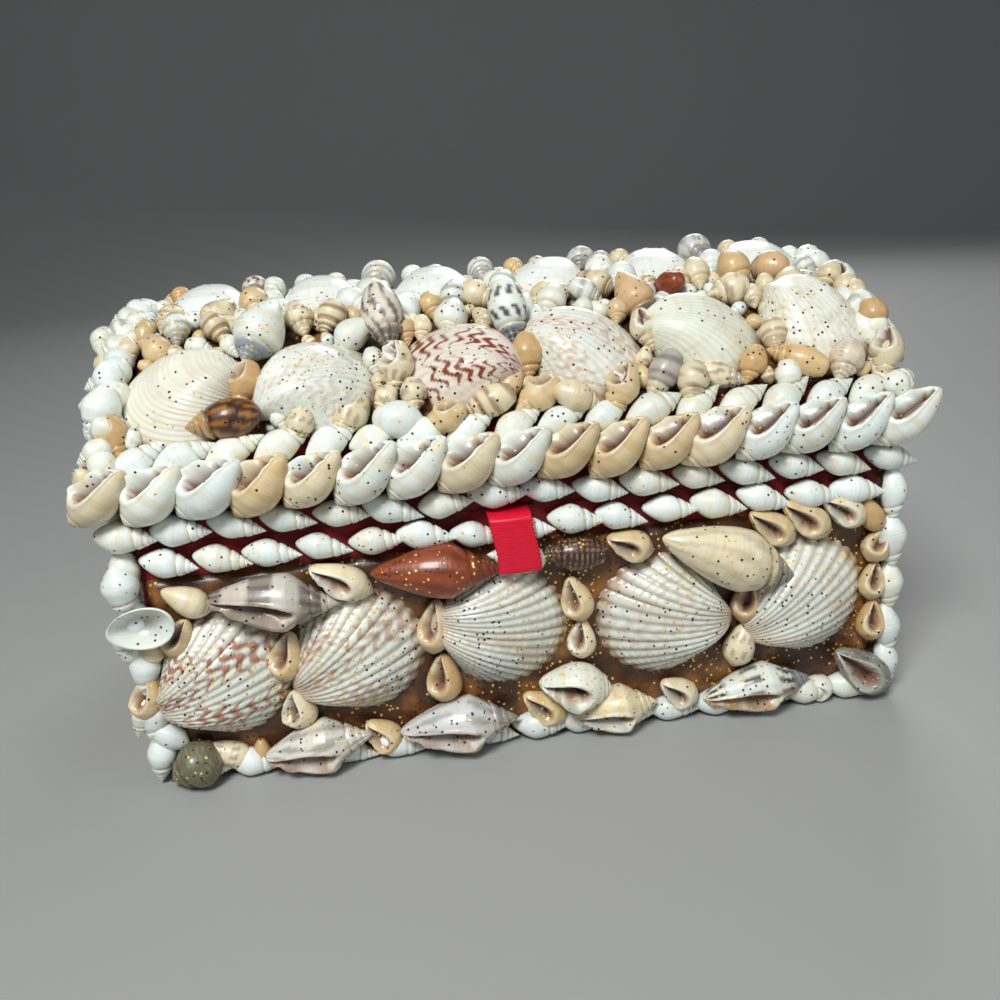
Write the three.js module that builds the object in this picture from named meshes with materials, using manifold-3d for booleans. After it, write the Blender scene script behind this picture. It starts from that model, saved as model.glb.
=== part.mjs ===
// A trinket box covered with sea shells: an open case, an arched lid that lifts off, a ribbon tab that is
// glued inside the lid, and the shells glued round both. Millimetres, +Z up, the front towards -Y, and the
// origin at the centre of the underside.
import * as THREE from "three";
import { mergeVertices } from "three/addons/utils/BufferGeometryUtils.js";
import Module from "manifold-3d";

const wasm = await Module();
wasm.setup();

// The bare case and lid
const LENGTH = 186;
const DEPTH = 106;
const CASE_HEIGHT = 63;
const CASE_WALL = 3;
const FLOOR = 3;
const SEAM = 0.3;
const RIM_HEIGHT = 20;
const ARCH_RISE = 24;
const LID_WALL = 3;
const GLUE = 0.3;
// How far the white rows beside the seam stand back from the edge of case and lid
const ROW_SET_BACK = 0.7;

// Small white shells, threaded nose to tail along every edge
const SMALL_LENGTH = 12.3;
const SMALL_RADIUS = 3.1;
const SMALL_THICKNESS = 5.8;
const NECK_RADIUS = 1.1;
const CORNER_CLEARANCE = 1.2;

// Open-mouthed shells that lie aslant round the lid's rim
const MOUTHED_LENGTH = 16;
const MOUTHED_WIDTH = 0.575 * MOUTHED_LENGTH;
const MOUTHED_THICKNESS = 0.44 * MOUTHED_LENGTH;
const MOUTHED_SLANT = THREE.MathUtils.degToRad(40);
// How far each one's belly nests into the next one's side
const MOUTHED_NEST = 2;
const MOUTHED_PITCH = (MOUTHED_WIDTH - MOUTHED_NEST) / Math.sin(MOUTHED_SLANT);

// Ribbed half shells. Their length is from the hinge to the far edge
const CASE_COCKLE = { length: 30, width: 30, height: 9.5 };
const LID_COCKLE = { length: 27, width: 26, height: 8.5 };
const CASE_COCKLE_RIBS = 8;
const LID_COCKLE_RIBS = 6;
const PLAIN_COCKLE_RIBS = 4;
const COCKLE_GAP = 1.2;
const COCKLE_OVERLAP = 0.9;
// The five of the front, from left to right: where each hinge points, in degrees from the wall's run, and
// how far it was glued off an even pitch
const FRONT_COCKLES = [
  { turn: 202, shift: -1 },
  { turn: 200, shift: -5 },
  { turn: 158, shift: -5 },
  { turn: -5, shift: -3 },
  { turn: 208, shift: 0 },
];
const GARLAND_GAP = 0.6;
const EDGE_INSET = 2.5;
const END_INSET = 1;
const GABLE_CLEARANCE = 14;
const GABLE_OVERLAP = 3.5;

// Whelks, snails and cups: length along the row, width across it and thickness off the wall
const LONG_WHELK = { length: 29, width: 10, thickness: 11 };
const WHELK = { length: 24, width: 9.4, thickness: 10 };
const SHORT_WHELK = { length: 18, width: 8.8, thickness: 9 };
const SNAIL = { length: 13, width: 8.8, thickness: 8 };
const SMALL_SNAIL = { length: 9.5, width: 7.8, thickness: 7 };
const CUP = { length: 15, width: 9, thickness: 5 };

// The two garlands of the front, from left to right. The hidden sides repeat a plain pair, and so does the lid
const FRONT_UPPER_GARLAND = [
  CUP,
  SMALL_SNAIL,
  LONG_WHELK,
  SMALL_SNAIL,
  LONG_WHELK,
  CUP,
  SNAIL,
  SNAIL,
  LONG_WHELK,
  SMALL_SNAIL,
  SMALL_SNAIL,
  SMALL_SNAIL,
];
const FRONT_LOWER_GARLAND = [
  SNAIL,
  SMALL_SNAIL,
  WHELK,
  SMALL_SNAIL,
  LONG_WHELK,
  SMALL_SNAIL,
  WHELK,
  SMALL_SNAIL,
  WHELK,
  SMALL_SNAIL,
  SNAIL,
];
const PLAIN_PAIR = [WHELK, SMALL_SNAIL];
const LID_PAIR = [SHORT_WHELK, SNAIL];

// Heights of the rows on the case's walls
const BOTTOM_ROW_RADIUS = 2.6;
const TOP_ROW_Z = CASE_HEIGHT - ROW_SET_BACK - SMALL_RADIUS;
const BOTTOM_ROW_Z = GLUE + BOTTOM_ROW_RADIUS;
const UPPER_GARLAND_Z = TOP_ROW_Z - SMALL_RADIUS - GARLAND_GAP - LONG_WHELK.width / 2;
const LOWER_GARLAND_Z = BOTTOM_ROW_Z + BOTTOM_ROW_RADIUS + GARLAND_GAP + LONG_WHELK.width / 2;
const CASE_COCKLE_Z = (UPPER_GARLAND_Z + LOWER_GARLAND_Z) / 2;

// Heights on the lid
const LID_Z = CASE_HEIGHT + SEAM;
const RIM_ROW_Z = LID_Z + ROW_SET_BACK + SMALL_RADIUS;
const ARCH_Z = LID_Z + RIM_HEIGHT;
const MOUTHED_ROW_Z = RIM_ROW_Z + SMALL_RADIUS + (MOUTHED_LENGTH * Math.sin(MOUTHED_SLANT)) / 2 + GARLAND_GAP;

// The arch is part of a circle
const ARCH_RADIUS = ((DEPTH / 2) ** 2 + ARCH_RISE ** 2) / (2 * ARCH_RISE);
const ARCH_CENTRE_Z = ARCH_Z + ARCH_RISE - ARCH_RADIUS;
const ARCH_HALF_ANGLE = Math.asin(DEPTH / 2 / ARCH_RADIUS);
const ARCH_HALF_RUN = ARCH_RADIUS * ARCH_HALF_ANGLE;

// The ribbon tab, glued inside the lid, out over the seam and down the front. The cloth of the lid's edge
// gives way to it, in a shallow bed
const RIBBON_WIDTH = 10;
const RIBBON_THICKNESS = 0.4;
const RIBBON_CLEARANCE = 0.3;
const RIBBON_X = -2.2;
const RIBBON_GLUED_RUN = 9;
const RIBBON_DROP = 15;
const RIBBON_FOLD = 4;

const root = new THREE.Group();
root.name = "shell_box";

const material = (color, roughness) =>
  new THREE.MeshStandardMaterial({ color, roughness, metalness: 0 });
const RED_CLOTH = material(0x5a1214, 0.9);
const RED_SATIN = material(0xc8102e, 0.4);
const WHITE_SHELL = material(0xe9e6df, 0.35);
const CREAM_SHELL = material(0xdcc9a4, 0.35);
const RIBBED_SHELL = material(0xe6ddcb, 0.4);
const MIXED_SHELL = material(0xb59f86, 0.4);

function add(name, geometry, finish) {
  const mesh = new THREE.Mesh(geometry, finish);
  mesh.name = name;
  root.add(mesh);
}

// Geometry to solid and back, for cuts and joins
function solid(geometry) {
  const bare = geometry.clone();
  bare.deleteAttribute("normal");
  bare.deleteAttribute("uv");
  const merged = mergeVertices(bare, 1e-4);
  return new wasm.Manifold(
    new wasm.Mesh({
      numProp: 3,
      vertProperties: merged.attributes.position.array,
      triVerts: new Uint32Array(merged.index.array),
    }),
  );
}

function geometryOf(made) {
  const mesh = made.getMesh();
  return new THREE.BufferGeometry()
    .setAttribute("position", new THREE.BufferAttribute(new Float32Array(mesh.vertProperties), 3))
    .setIndex(new THREE.BufferAttribute(new Uint32Array(mesh.triVerts), 1));
}

const joined = (geometries) => geometryOf(geometries.map(solid).reduce((sum, one) => sum.add(one)));

// A wall's own frame: along runs to the right as one faces the wall, up is +Z and out points away from it
function wallFrame(name) {
  const outward = {
    front: [0, -1, DEPTH / 2],
    back: [0, 1, DEPTH / 2],
    left: [-1, 0, LENGTH / 2],
    right: [1, 0, LENGTH / 2],
  };
  const [x, y, reach] = outward[name];
  const out = new THREE.Vector3(x, y, 0);
  const up = new THREE.Vector3(0, 0, 1);
  const along = new THREE.Vector3().crossVectors(up, out);
  return { foot: out.clone().multiplyScalar(reach), along, up, out };
}

const WALLS = ["front", "back", "left", "right"];
const wallRun = (name) => (name === "front" || name === "back" ? LENGTH : DEPTH);

// The frame at a place on the lid's arch: arc is the distance over it from the crest, towards the back
function archFrame(x, arc) {
  const angle = arc / ARCH_RADIUS;
  const out = new THREE.Vector3(0, Math.sin(angle), Math.cos(angle));
  const up = new THREE.Vector3(0, Math.cos(angle), -Math.sin(angle));
  const foot = out.clone().multiplyScalar(ARCH_RADIUS).add(new THREE.Vector3(x, 0, ARCH_CENTRE_Z));
  return { foot, along: new THREE.Vector3(1, 0, 0), up, out };
}

// A point in a frame, given as distances along, up and out
const place = (frame, a, u, o) =>
  frame.foot
    .clone()
    .addScaledVector(frame.along, a)
    .addScaledVector(frame.up, u)
    .addScaledVector(frame.out, o);

// A closed skin over rings of points, from a first tip to a last one
function skin(first, rings, last) {
  const sides = rings[0].length;
  const points = [first, ...rings.flat(), last];
  const end = points.length - 1;
  const faces = [];
  const at = (ring, k) => 1 + ring * sides + (k % sides);
  for (let k = 0; k < sides; k++) {
    faces.push(0, at(0, k + 1), at(0, k));
    for (let ring = 0; ring + 1 < rings.length; ring++) {
      faces.push(at(ring, k), at(ring, k + 1), at(ring + 1, k));
      faces.push(at(ring, k + 1), at(ring + 1, k + 1), at(ring + 1, k));
    }
    faces.push(end, at(rings.length - 1, k), at(rings.length - 1, k + 1));
  }
  return new THREE.BufferGeometry().setFromPoints(points).setIndex(faces);
}

// A ring of points round a centre, with its own reach up and out
function ring(centre, up, out, reachUp, reachOut, sides) {
  return Array.from({ length: sides }, (_, k) => {
    const turn = (k / sides) * 2 * Math.PI;
    return centre
      .clone()
      .addScaledVector(up, reachUp * Math.cos(turn))
      .addScaledVector(out, reachOut * Math.sin(turn));
  });
}

// Shells nose to tail along a path, touching only at their necks. path(t) gives the frame at a distance t,
// and each shell has its length, width and thickness
function chain(path, shells, run, sides = 4) {
  const scale = run / shells.reduce((sum, shell) => sum + shell.length, 0);
  const rings = [];
  let t = 0;
  shells.forEach((shell, i) => {
    const previous = shells[Math.max(0, i - 1)];
    const low = Math.min(shell.thickness, previous.thickness) / 2;
    const belly = t + 0.4 * shell.length * scale;
    const start = path(i === 0 ? t + NECK_RADIUS : t);
    const neck = place(start, 0, 0, GLUE + low);
    rings.push(ring(neck, start.up, start.out, NECK_RADIUS, NECK_RADIUS, sides));
    const middle = path(belly);
    const centre = place(middle, 0, 0, GLUE + shell.thickness / 2);
    rings.push(ring(centre, middle.up, middle.out, shell.width / 2, shell.thickness / 2, sides));
    t += shell.length * scale;
  });
  const ends = [path(0), path(run)];
  const outs = [shells[0], shells.at(-1)].map((shell) => GLUE + shell.thickness / 2);
  return skin(place(ends[0], 0, 0, outs[0]), rings, place(ends[1], 0, 0, outs[1]));
}

function smallShells(run, radius = SMALL_RADIUS, thickness = SMALL_THICKNESS) {
  const count = Math.max(3, Math.round(run / SMALL_LENGTH));
  const shell = { length: run / count, width: 2 * radius, thickness };
  return Array(count).fill(shell);
}

// A straight path at a height on a wall, over a run that is centred on it
function wallPath(name, z, run) {
  const frame = wallFrame(name);
  return (t) => ({ ...frame, foot: place(frame, t - run / 2, z, 0) });
}

// Pairs repeated until they fill a run
function repeated(pair, run) {
  const pairLength = pair.reduce((sum, shell) => sum + shell.length, 0);
  return Array(Math.max(2, Math.round(run / pairLength)))
    .fill(pair)
    .flat();
}

// One half shell that lies open side down. Its hinge points along angle, in degrees from the frame's along
function cockle(frame, angle, size, ribs) {
  const turn = THREE.MathUtils.degToRad(angle);
  const hinge = frame.along.clone().multiplyScalar(Math.cos(turn)).addScaledVector(frame.up, Math.sin(turn));
  const across = new THREE.Vector3().crossVectors(frame.out, hinge);
  const sides = 2 * ribs;
  const levels = [
    { reach: 1, height: 0, shift: 0 },
    { reach: 0.84, height: 0.62, shift: 0.03 },
    { reach: 0.42, height: 0.96, shift: 0.16 },
  ];
  const rings = levels.map(({ reach, height, shift }) =>
    Array.from({ length: sides }, (_, k) => {
      const bearing = (k / sides) * 2 * Math.PI;
      const rib = Math.cos(ribs * (bearing - Math.PI / 2)) > 0 ? 1 : 0.95;
      const forward = (shift + 0.5 * reach * rib * Math.cos(bearing)) * size.length;
      const sideways = 0.5 * reach * rib * (1 - 0.12 * Math.cos(bearing)) * Math.sin(bearing) * size.width;
      return frame.foot
        .clone()
        .addScaledVector(hinge, forward)
        .addScaledVector(across, sideways)
        .addScaledVector(frame.out, GLUE + height * size.height);
    }),
  );
  const bottom = frame.foot.clone().addScaledVector(frame.out, GLUE);
  const crown = frame.foot
    .clone()
    .addScaledVector(hinge, 0.3 * size.length)
    .addScaledVector(frame.out, GLUE + size.height);
  return skin(bottom, rings, crown);
}

// Places for ribbed shells that fill a run and just touch, with the width that they then have
function touching(size, run, overlap = COCKLE_OVERLAP) {
  const count = Math.round(run / size.width);
  const width = (run + (count - 1) * overlap) / count;
  const pitch = width - overlap;
  return {
    size: { ...size, width },
    places: Array.from({ length: count }, (_, i) => (i - (count - 1) / 2) * pitch),
  };
}

// Outline of the lid's end wall, drawn with y to the right and z up. inset pulls it in all round
function archOutline(inset, footZ) {
  const half = DEPTH / 2 - inset;
  const radius = ARCH_RADIUS - inset;
  const angle = Math.asin(half / radius);
  const shape = new THREE.Shape();
  shape.moveTo(-half, footZ);
  shape.lineTo(half, footZ);
  shape.absarc(0, ARCH_CENTRE_Z, radius, Math.PI / 2 - angle, Math.PI / 2 + angle, false);
  return shape;
}

// A shape in y and z carried along X over a length, centred on x
function alongX(shape, length, x = 0, curveSegments = 16) {
  const geometry = new THREE.ExtrudeGeometry(shape, { depth: length, bevelEnabled: false, curveSegments });
  const turned = new THREE.Matrix4().makeBasis(
    new THREE.Vector3(0, 1, 0),
    new THREE.Vector3(0, 0, 1),
    new THREE.Vector3(1, 0, 0),
  );
  return geometry.applyMatrix4(turned).translate(x - length / 2, 0, 0);
}

function addCase() {
  const outer = new THREE.BoxGeometry(LENGTH, DEPTH, CASE_HEIGHT).translate(0, 0, CASE_HEIGHT / 2);
  const cavityHeight = CASE_HEIGHT;
  const cavity = new THREE.BoxGeometry(LENGTH - 2 * CASE_WALL, DEPTH - 2 * CASE_WALL, cavityHeight);
  cavity.translate(0, 0, FLOOR + cavityHeight / 2);
  add("case", geometryOf(solid(outer).subtract(solid(cavity))), RED_CLOTH);
}

function addLid() {
  const outer = alongX(archOutline(0, LID_Z), LENGTH);
  const hollow = alongX(archOutline(LID_WALL, LID_Z - LID_WALL), LENGTH - 2 * LID_WALL);
  const bedWidth = RIBBON_WIDTH + 2 * RIBBON_CLEARANCE;
  const bedTop = CASE_HEIGHT + RIBBON_THICKNESS + 2 * RIBBON_CLEARANCE;
  const bed = new THREE.BoxGeometry(bedWidth, 2 * LID_WALL, 2 * (bedTop - LID_Z));
  bed.translate(RIBBON_X, -(DEPTH - LID_WALL) / 2, LID_Z);
  add("lid", geometryOf(solid(outer).subtract(solid(hollow)).subtract(solid(bed))), RED_CLOTH);
}

// The tab's side view is one strip: up inside the lid, out through the seam, down over the top row, folded
function addRibbonTab() {
  const half = RIBBON_THICKNESS / 2;
  const seamZ = CASE_HEIGHT + RIBBON_CLEARANCE + half;
  const inside = -DEPTH / 2 + LID_WALL + GLUE + half;
  const frontY = -DEPTH / 2 - GLUE - SMALL_THICKNESS - RIBBON_CLEARANCE - half;
  const lowZ = seamZ - RIBBON_DROP;
  const shape = new THREE.Shape();
  shape.moveTo(inside + half, seamZ + RIBBON_GLUED_RUN);
  shape.lineTo(inside - half, seamZ + RIBBON_GLUED_RUN);
  shape.lineTo(inside - half, seamZ + half);
  shape.lineTo(frontY, seamZ + half);
  shape.lineTo(frontY - half, seamZ);
  shape.lineTo(frontY - half, lowZ + half);
  shape.lineTo(frontY, lowZ);
  shape.lineTo(frontY + 3 * half, lowZ + half);
  shape.lineTo(frontY + 3 * half, lowZ + RIBBON_FOLD);
  shape.lineTo(frontY + half, lowZ + RIBBON_FOLD);
  shape.lineTo(frontY + half, seamZ - half);
  shape.lineTo(inside + half, seamZ - half);
  shape.closePath();
  add("ribbon_tab", alongX(shape, RIBBON_WIDTH, RIBBON_X), RED_SATIN);
}

// White rows under the case's top edge and along its foot, and a column down each corner
function addCaseRows() {
  const inset = GLUE + CORNER_CLEARANCE;
  for (const wall of WALLS) {
    const run = wallRun(wall) - 2 * inset;
    add(`${wall}_top_row`, chain(wallPath(wall, TOP_ROW_Z, run), smallShells(run), run), WHITE_SHELL);
    const low = smallShells(run, BOTTOM_ROW_RADIUS);
    add(`${wall}_bottom_row`, chain(wallPath(wall, BOTTOM_ROW_Z, run), low, run), WHITE_SHELL);
  }
  for (const [name, x, y] of [
    ["front_left", -1, -1],
    ["front_right", 1, -1],
    ["back_right", 1, 1],
    ["back_left", -1, 1],
  ]) {
    const out = new THREE.Vector3(x, y, 0).normalize();
    const along = new THREE.Vector3(0, 0, 1);
    const up = new THREE.Vector3().crossVectors(out, along);
    const corner = new THREE.Vector3((x * LENGTH) / 2, (y * DEPTH) / 2, 0);
    const run = CASE_HEIGHT - GLUE;
    const path = (t) => ({ foot: corner.clone().setZ(GLUE + t), along, up, out });
    add(`${name}_corner_column`, chain(path, smallShells(run), run), WHITE_SHELL);
  }
}

// Whelks and snails above and below the ribbed shells
function addCaseGarlands() {
  const inset = CORNER_CLEARANCE + SMALL_RADIUS / 2;
  for (const wall of WALLS) {
    const run = wallRun(wall) - 2 * inset;
    const plain = repeated(PLAIN_PAIR, run);
    const upper = wall === "front" ? FRONT_UPPER_GARLAND : plain;
    const lower = wall === "front" ? FRONT_LOWER_GARLAND : plain;
    const sides = wall === "front" ? 6 : 4;
    const upperPath = wallPath(wall, UPPER_GARLAND_Z, run);
    const lowerPath = wallPath(wall, LOWER_GARLAND_Z, run);
    add(`${wall}_upper_garland`, chain(upperPath, upper, run, sides), MIXED_SHELL);
    add(`${wall}_lower_garland`, chain(lowerPath, lower, run, sides), MIXED_SHELL);
  }
}

// Five ribbed shells in front, each turned its own way. Those of the other walls touch and are one piece
function addCaseCockles() {
  const front = wallFrame("front");
  const room = LENGTH - 2 * (SMALL_RADIUS + CORNER_CLEARANCE);
  const pitch = (room - CASE_COCKLE.length) / (FRONT_COCKLES.length - 1);
  FRONT_COCKLES.forEach(({ turn, shift }, i) => {
    const along = (i - (FRONT_COCKLES.length - 1) / 2) * pitch + shift;
    const frame = { ...front, foot: place(front, along, CASE_COCKLE_Z, 0) };
    add(`front_cockle_${i + 1}`, cockle(frame, turn, CASE_COCKLE, CASE_COCKLE_RIBS), RIBBED_SHELL);
  });
  for (const wall of ["back", "left", "right"]) {
    const frame = wallFrame(wall);
    const { size, places } = touching(CASE_COCKLE, wallRun(wall) - 2 * (SMALL_RADIUS + CORNER_CLEARANCE));
    const row = places.map((along) =>
      cockle({ ...frame, foot: place(frame, along, CASE_COCKLE_Z, 0) }, 90, size, PLAIN_COCKLE_RIBS),
    );
    add(`${wall}_cockle_row`, joined(row), RIBBED_SHELL);
  }
}

// One shell that lies aslant with its mouth up, a spindle between its two tips
function mouthedShell(frame) {
  const axis = frame.along
    .clone()
    .multiplyScalar(Math.cos(MOUTHED_SLANT))
    .addScaledVector(frame.up, Math.sin(MOUTHED_SLANT));
  const side = new THREE.Vector3().crossVectors(frame.out, axis);
  const middle = place(frame, 0, 0, GLUE + MOUTHED_THICKNESS / 2);
  const at = (share) => middle.clone().addScaledVector(axis, (share - 0.5) * MOUTHED_LENGTH);
  const rings = [
    ring(at(0.25), side, frame.out, MOUTHED_WIDTH / 2, MOUTHED_THICKNESS / 2, 4),
    ring(at(0.75), side, frame.out, 0.42 * MOUTHED_WIDTH, 0.45 * MOUTHED_THICKNESS, 4),
  ];
  return skin(at(0), rings, at(1));
}

// The lid's rim: a white row along its foot, and the mouthed shells above it
function addRimRows() {
  for (const wall of WALLS) {
    const overCorners = wall === "front" || wall === "back" ? 2 * (GLUE + MOUTHED_THICKNESS) : 0;
    const run = wallRun(wall) + overCorners;
    add(`${wall}_rim_row`, chain(wallPath(wall, RIM_ROW_Z, run), smallShells(run), run), WHITE_SHELL);
    const frame = wallFrame(wall);
    const reach = run - MOUTHED_LENGTH * Math.cos(MOUTHED_SLANT);
    const steps = Math.max(2, Math.ceil(reach / MOUTHED_PITCH));
    const row = Array.from({ length: steps + 1 }, (_, i) => {
      const along = (i / steps - 0.5) * reach;
      return mouthedShell({ ...frame, foot: place(frame, along, MOUTHED_ROW_Z, 0) });
    });
    add(`${wall}_mouthed_row`, joined(row), CREAM_SHELL);
  }
}

// White rows along the arch's two long edges and over its two ends, and garlands between the ribbed shells
const LONG_EDGE_ARC = ARCH_HALF_RUN - EDGE_INSET;
const END_ROW_X = LENGTH / 2 - END_INSET;
const LID_COCKLE_ARC = LONG_EDGE_ARC - SMALL_RADIUS - COCKLE_GAP / 2 - LID_COCKLE.length / 2;

function addArchRows() {
  for (const [name, side] of [
    ["front", -1],
    ["back", 1],
  ]) {
    const run = LENGTH - 2 * (SMALL_THICKNESS + CORNER_CLEARANCE);
    const path = (t) => archFrame(t - run / 2, side * LONG_EDGE_ARC);
    add(`lid_${name}_edge_row`, chain(path, smallShells(run), run), WHITE_SHELL);
    const garland = repeated(LID_PAIR, run);
    const garlandPath = (t) => archFrame(t - run / 2, (side * LID_COCKLE_ARC) / 2);
    add(`lid_${name}_garland`, chain(garlandPath, garland, run), MIXED_SHELL);
  }
  for (const [name, side] of [
    ["left", -1],
    ["right", 1],
  ]) {
    const run = 2 * ARCH_HALF_RUN;
    const path = (t) => {
      const frame = archFrame(side * END_ROW_X, t - run / 2);
      return { foot: frame.foot, along: frame.up, up: frame.along.negate(), out: frame.out };
    };
    add(`lid_${name}_end_row`, chain(path, smallShells(run), run), WHITE_SHELL);
  }
}

// Three rows of ribbed shells over the arch. The back row touches and is one piece
function addLidCockles() {
  const room = 2 * (END_ROW_X - SMALL_RADIUS - COCKLE_GAP / 2);
  const count = Math.floor(room / LID_COCKLE.width);
  const pitch = (room - LID_COCKLE.width) / (count - 1);
  const xs = Array.from({ length: count }, (_, i) => (i - (count - 1) / 2) * pitch);
  xs.forEach((x, i) => {
    const front = cockle(archFrame(x, -LID_COCKLE_ARC), 90, LID_COCKLE, LID_COCKLE_RIBS);
    const middle = cockle(archFrame(x, 0), 90, LID_COCKLE, LID_COCKLE_RIBS);
    add(`lid_front_cockle_${i + 1}`, front, RIBBED_SHELL);
    add(`lid_middle_cockle_${i + 1}`, middle, RIBBED_SHELL);
  });
  const { size, places } = touching(LID_COCKLE, room);
  const back = places.map((x) => cockle(archFrame(x, LID_COCKLE_ARC), -90, size, PLAIN_COCKLE_RIBS));
  add("lid_back_cockle_row", joined(back), RIBBED_SHELL);
}

// Three ribbed shells on each end of the lid, as tall as the arch leaves room for, touching as one piece
function addGables() {
  const foot = MOUTHED_ROW_Z + MOUTHED_WIDTH / 2 + GARLAND_GAP;
  const { size, places } = touching(LID_COCKLE, DEPTH - 2 * GABLE_CLEARANCE, GABLE_OVERLAP);
  for (const wall of ["left", "right"]) {
    const frame = wallFrame(wall);
    const row = places.map((along) => {
      const outermost = Math.abs(along) + size.width / 4;
      const room = ARCH_CENTRE_Z + Math.sqrt(ARCH_RADIUS ** 2 - outermost ** 2) - foot - GARLAND_GAP;
      const length = Math.min(room, LID_COCKLE.length);
      const at = { ...frame, foot: place(frame, along, foot + length / 2, 0) };
      return cockle(at, -90, { ...size, length }, LID_COCKLE_RIBS);
    });
    add(`lid_${wall}_gable_cockles`, joined(row), RIBBED_SHELL);
  }
}

addCase();
addLid();
addRibbonTab();
addCaseRows();
addCaseGarlands();
addCaseCockles();
addRimRows();
addArchRows();
addLidCockles();
addGables();

export default root;
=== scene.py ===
# %% [markdown]
# # A trinket box covered with sea shells
# The box is a card case with an arched lid that lifts off. Every wall is hidden under shells, which sit in
# amber glue and carry flecks of gold and black glitter. This lesson dresses the plain solids of the part:
# each row of spindles becomes a row of real shells, and the gaps between the rows are filled with more.

import math
from dataclasses import dataclass, replace
from functools import partial

import bpy
import numpy as np
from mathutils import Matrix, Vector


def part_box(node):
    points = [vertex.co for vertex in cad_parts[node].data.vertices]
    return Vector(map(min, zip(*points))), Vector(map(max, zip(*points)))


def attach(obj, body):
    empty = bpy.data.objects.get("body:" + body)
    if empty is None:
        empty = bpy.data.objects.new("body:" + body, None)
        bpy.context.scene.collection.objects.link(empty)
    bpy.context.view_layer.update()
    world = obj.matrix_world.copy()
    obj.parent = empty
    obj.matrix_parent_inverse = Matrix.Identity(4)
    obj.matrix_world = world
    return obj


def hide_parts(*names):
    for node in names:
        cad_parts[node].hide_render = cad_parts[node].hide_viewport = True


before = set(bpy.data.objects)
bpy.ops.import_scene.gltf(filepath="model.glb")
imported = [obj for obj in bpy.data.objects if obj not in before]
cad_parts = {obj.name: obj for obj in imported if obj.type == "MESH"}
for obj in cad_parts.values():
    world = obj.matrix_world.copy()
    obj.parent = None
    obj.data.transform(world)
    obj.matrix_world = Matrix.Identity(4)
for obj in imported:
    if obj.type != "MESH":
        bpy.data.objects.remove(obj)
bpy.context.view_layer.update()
MM = 0.001  # metres in a millimetre
TAU = 2 * math.pi
rng = np.random.default_rng(7)  # seeded, so that every run draws the same shells
print("solids in the frame:", len(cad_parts))

# %% [markdown]
# ## Sizes
# The solids already say where everything goes, so the sizes are read from their boxes and not typed again.
# All lengths in this script are millimetres until a mesh is made.


# %% Sizes of the case and the lid
def corners(node):
    """Lowest and highest corner of a solid, in millimetres."""
    return [np.array(corner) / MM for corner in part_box(node)]


case_low, case_high = corners("case")
lid_high = corners("lid")[1]
LENGTH, DEPTH = (case_high - case_low)[:2]
CASE_HEIGHT = case_high[2]
GLUE = 0.3  # gap between wall and shell that the glue fills
ARCH_RISE = 24.0  # from the arch's foot to its crest
ARCH_RADIUS = ((DEPTH / 2) ** 2 + ARCH_RISE**2) / (2 * ARCH_RISE)
ARCH_CENTRE_Z = lid_high[2] - ARCH_RADIUS
ARCH_HALF_RUN = ARCH_RADIUS * math.asin(DEPTH / 2 / ARCH_RADIUS)
print(f"case {LENGTH:.0f} by {DEPTH:.0f} by {CASE_HEIGHT:.0f} mm, arch radius {ARCH_RADIUS:.1f} mm")

# %% [markdown]
# ## Places
# A shell is modelled once, lying along its own X axis with its back towards Z. To glue it on, it needs a
# place: a foot on the wall and three directions. Walls are flat, and over the lid the directions turn with
# the arch, so one small class holds both.


# %% Places on the walls and over the arch
@dataclass
class Place:
    """A point on the box: along runs to the right as one faces it, up is up the wall, out points away."""

    foot: np.ndarray
    along: np.ndarray
    up: np.ndarray
    out: np.ndarray

    def moved(self, a=0.0, u=0.0, o=0.0):
        """The same place shifted by a along, u up and o out."""
        return replace(self, foot=self.foot + a * self.along + u * self.up + o * self.out)


OUTWARD = {"front": (0, -1), "back": (0, 1), "left": (-1, 0), "right": (1, 0)}
WALLS = tuple(OUTWARD)


def run_axis(side):
    """The axis of the frame that a wall runs along: 0 is X and 1 is Y."""
    return 0 if side in ("front", "back") else 1


def wall_run(side):
    """How long a wall is."""
    return (LENGTH, DEPTH)[run_axis(side)]


def wall(side, a=0.0, z=0.0):
    """A place on a wall, a to the right of its middle and z above the ground."""
    x, y = OUTWARD[side]
    out = np.array([x, y, 0.0])
    up = np.array([0.0, 0.0, 1.0])
    reach = (LENGTH if x else DEPTH) / 2
    return Place(out * reach, np.cross(up, out), up, out).moved(a, z)


def arch(x, arc):
    """A place on the lid: arc is the distance over the arch from the crest, towards the back."""
    angle = arc / ARCH_RADIUS
    out = np.array([0.0, math.sin(angle), math.cos(angle)])
    up = np.array([0.0, math.cos(angle), -math.sin(angle)])
    foot = out * ARCH_RADIUS + np.array([x, 0.0, ARCH_CENTRE_Z])
    return Place(foot, np.array([1.0, 0.0, 0.0]), up, out)


print("front wall's foot:", wall("front").foot, "crest:", arch(0, 0).foot.round(1))

# %% [markdown]
# ## From arrays to a mesh
# Every shell is a grid that closes on itself round one way, with a point at each end. The faces of such a
# grid are always the same, so they are worked out once for each grid size. A piece collects many shells and
# is written to Blender in one go, with a colour for each point.


# %% Grid faces
def skin_faces(rows, columns):
    """Quads between neighbouring rings of a closed grid, and the triangles that close its two ends.
    Point 0 is the first end, then come the rings, and the last point is the other end."""
    ring, step = np.meshgrid(np.arange(rows - 1), np.arange(columns), indexing="ij")
    here = 1 + ring * columns + step
    beside = 1 + ring * columns + (step + 1) % columns
    quads = np.stack([here, here + columns, beside + columns, beside], -1).reshape(-1, 4)
    k = np.arange(columns)
    first = np.stack([np.zeros_like(k), 1 + k, 1 + (k + 1) % columns], -1)
    base = 1 + (rows - 1) * columns
    last = np.stack([np.full_like(k, base + columns), base + (k + 1) % columns, base + k], -1)
    return quads, np.concatenate([first, last])


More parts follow.
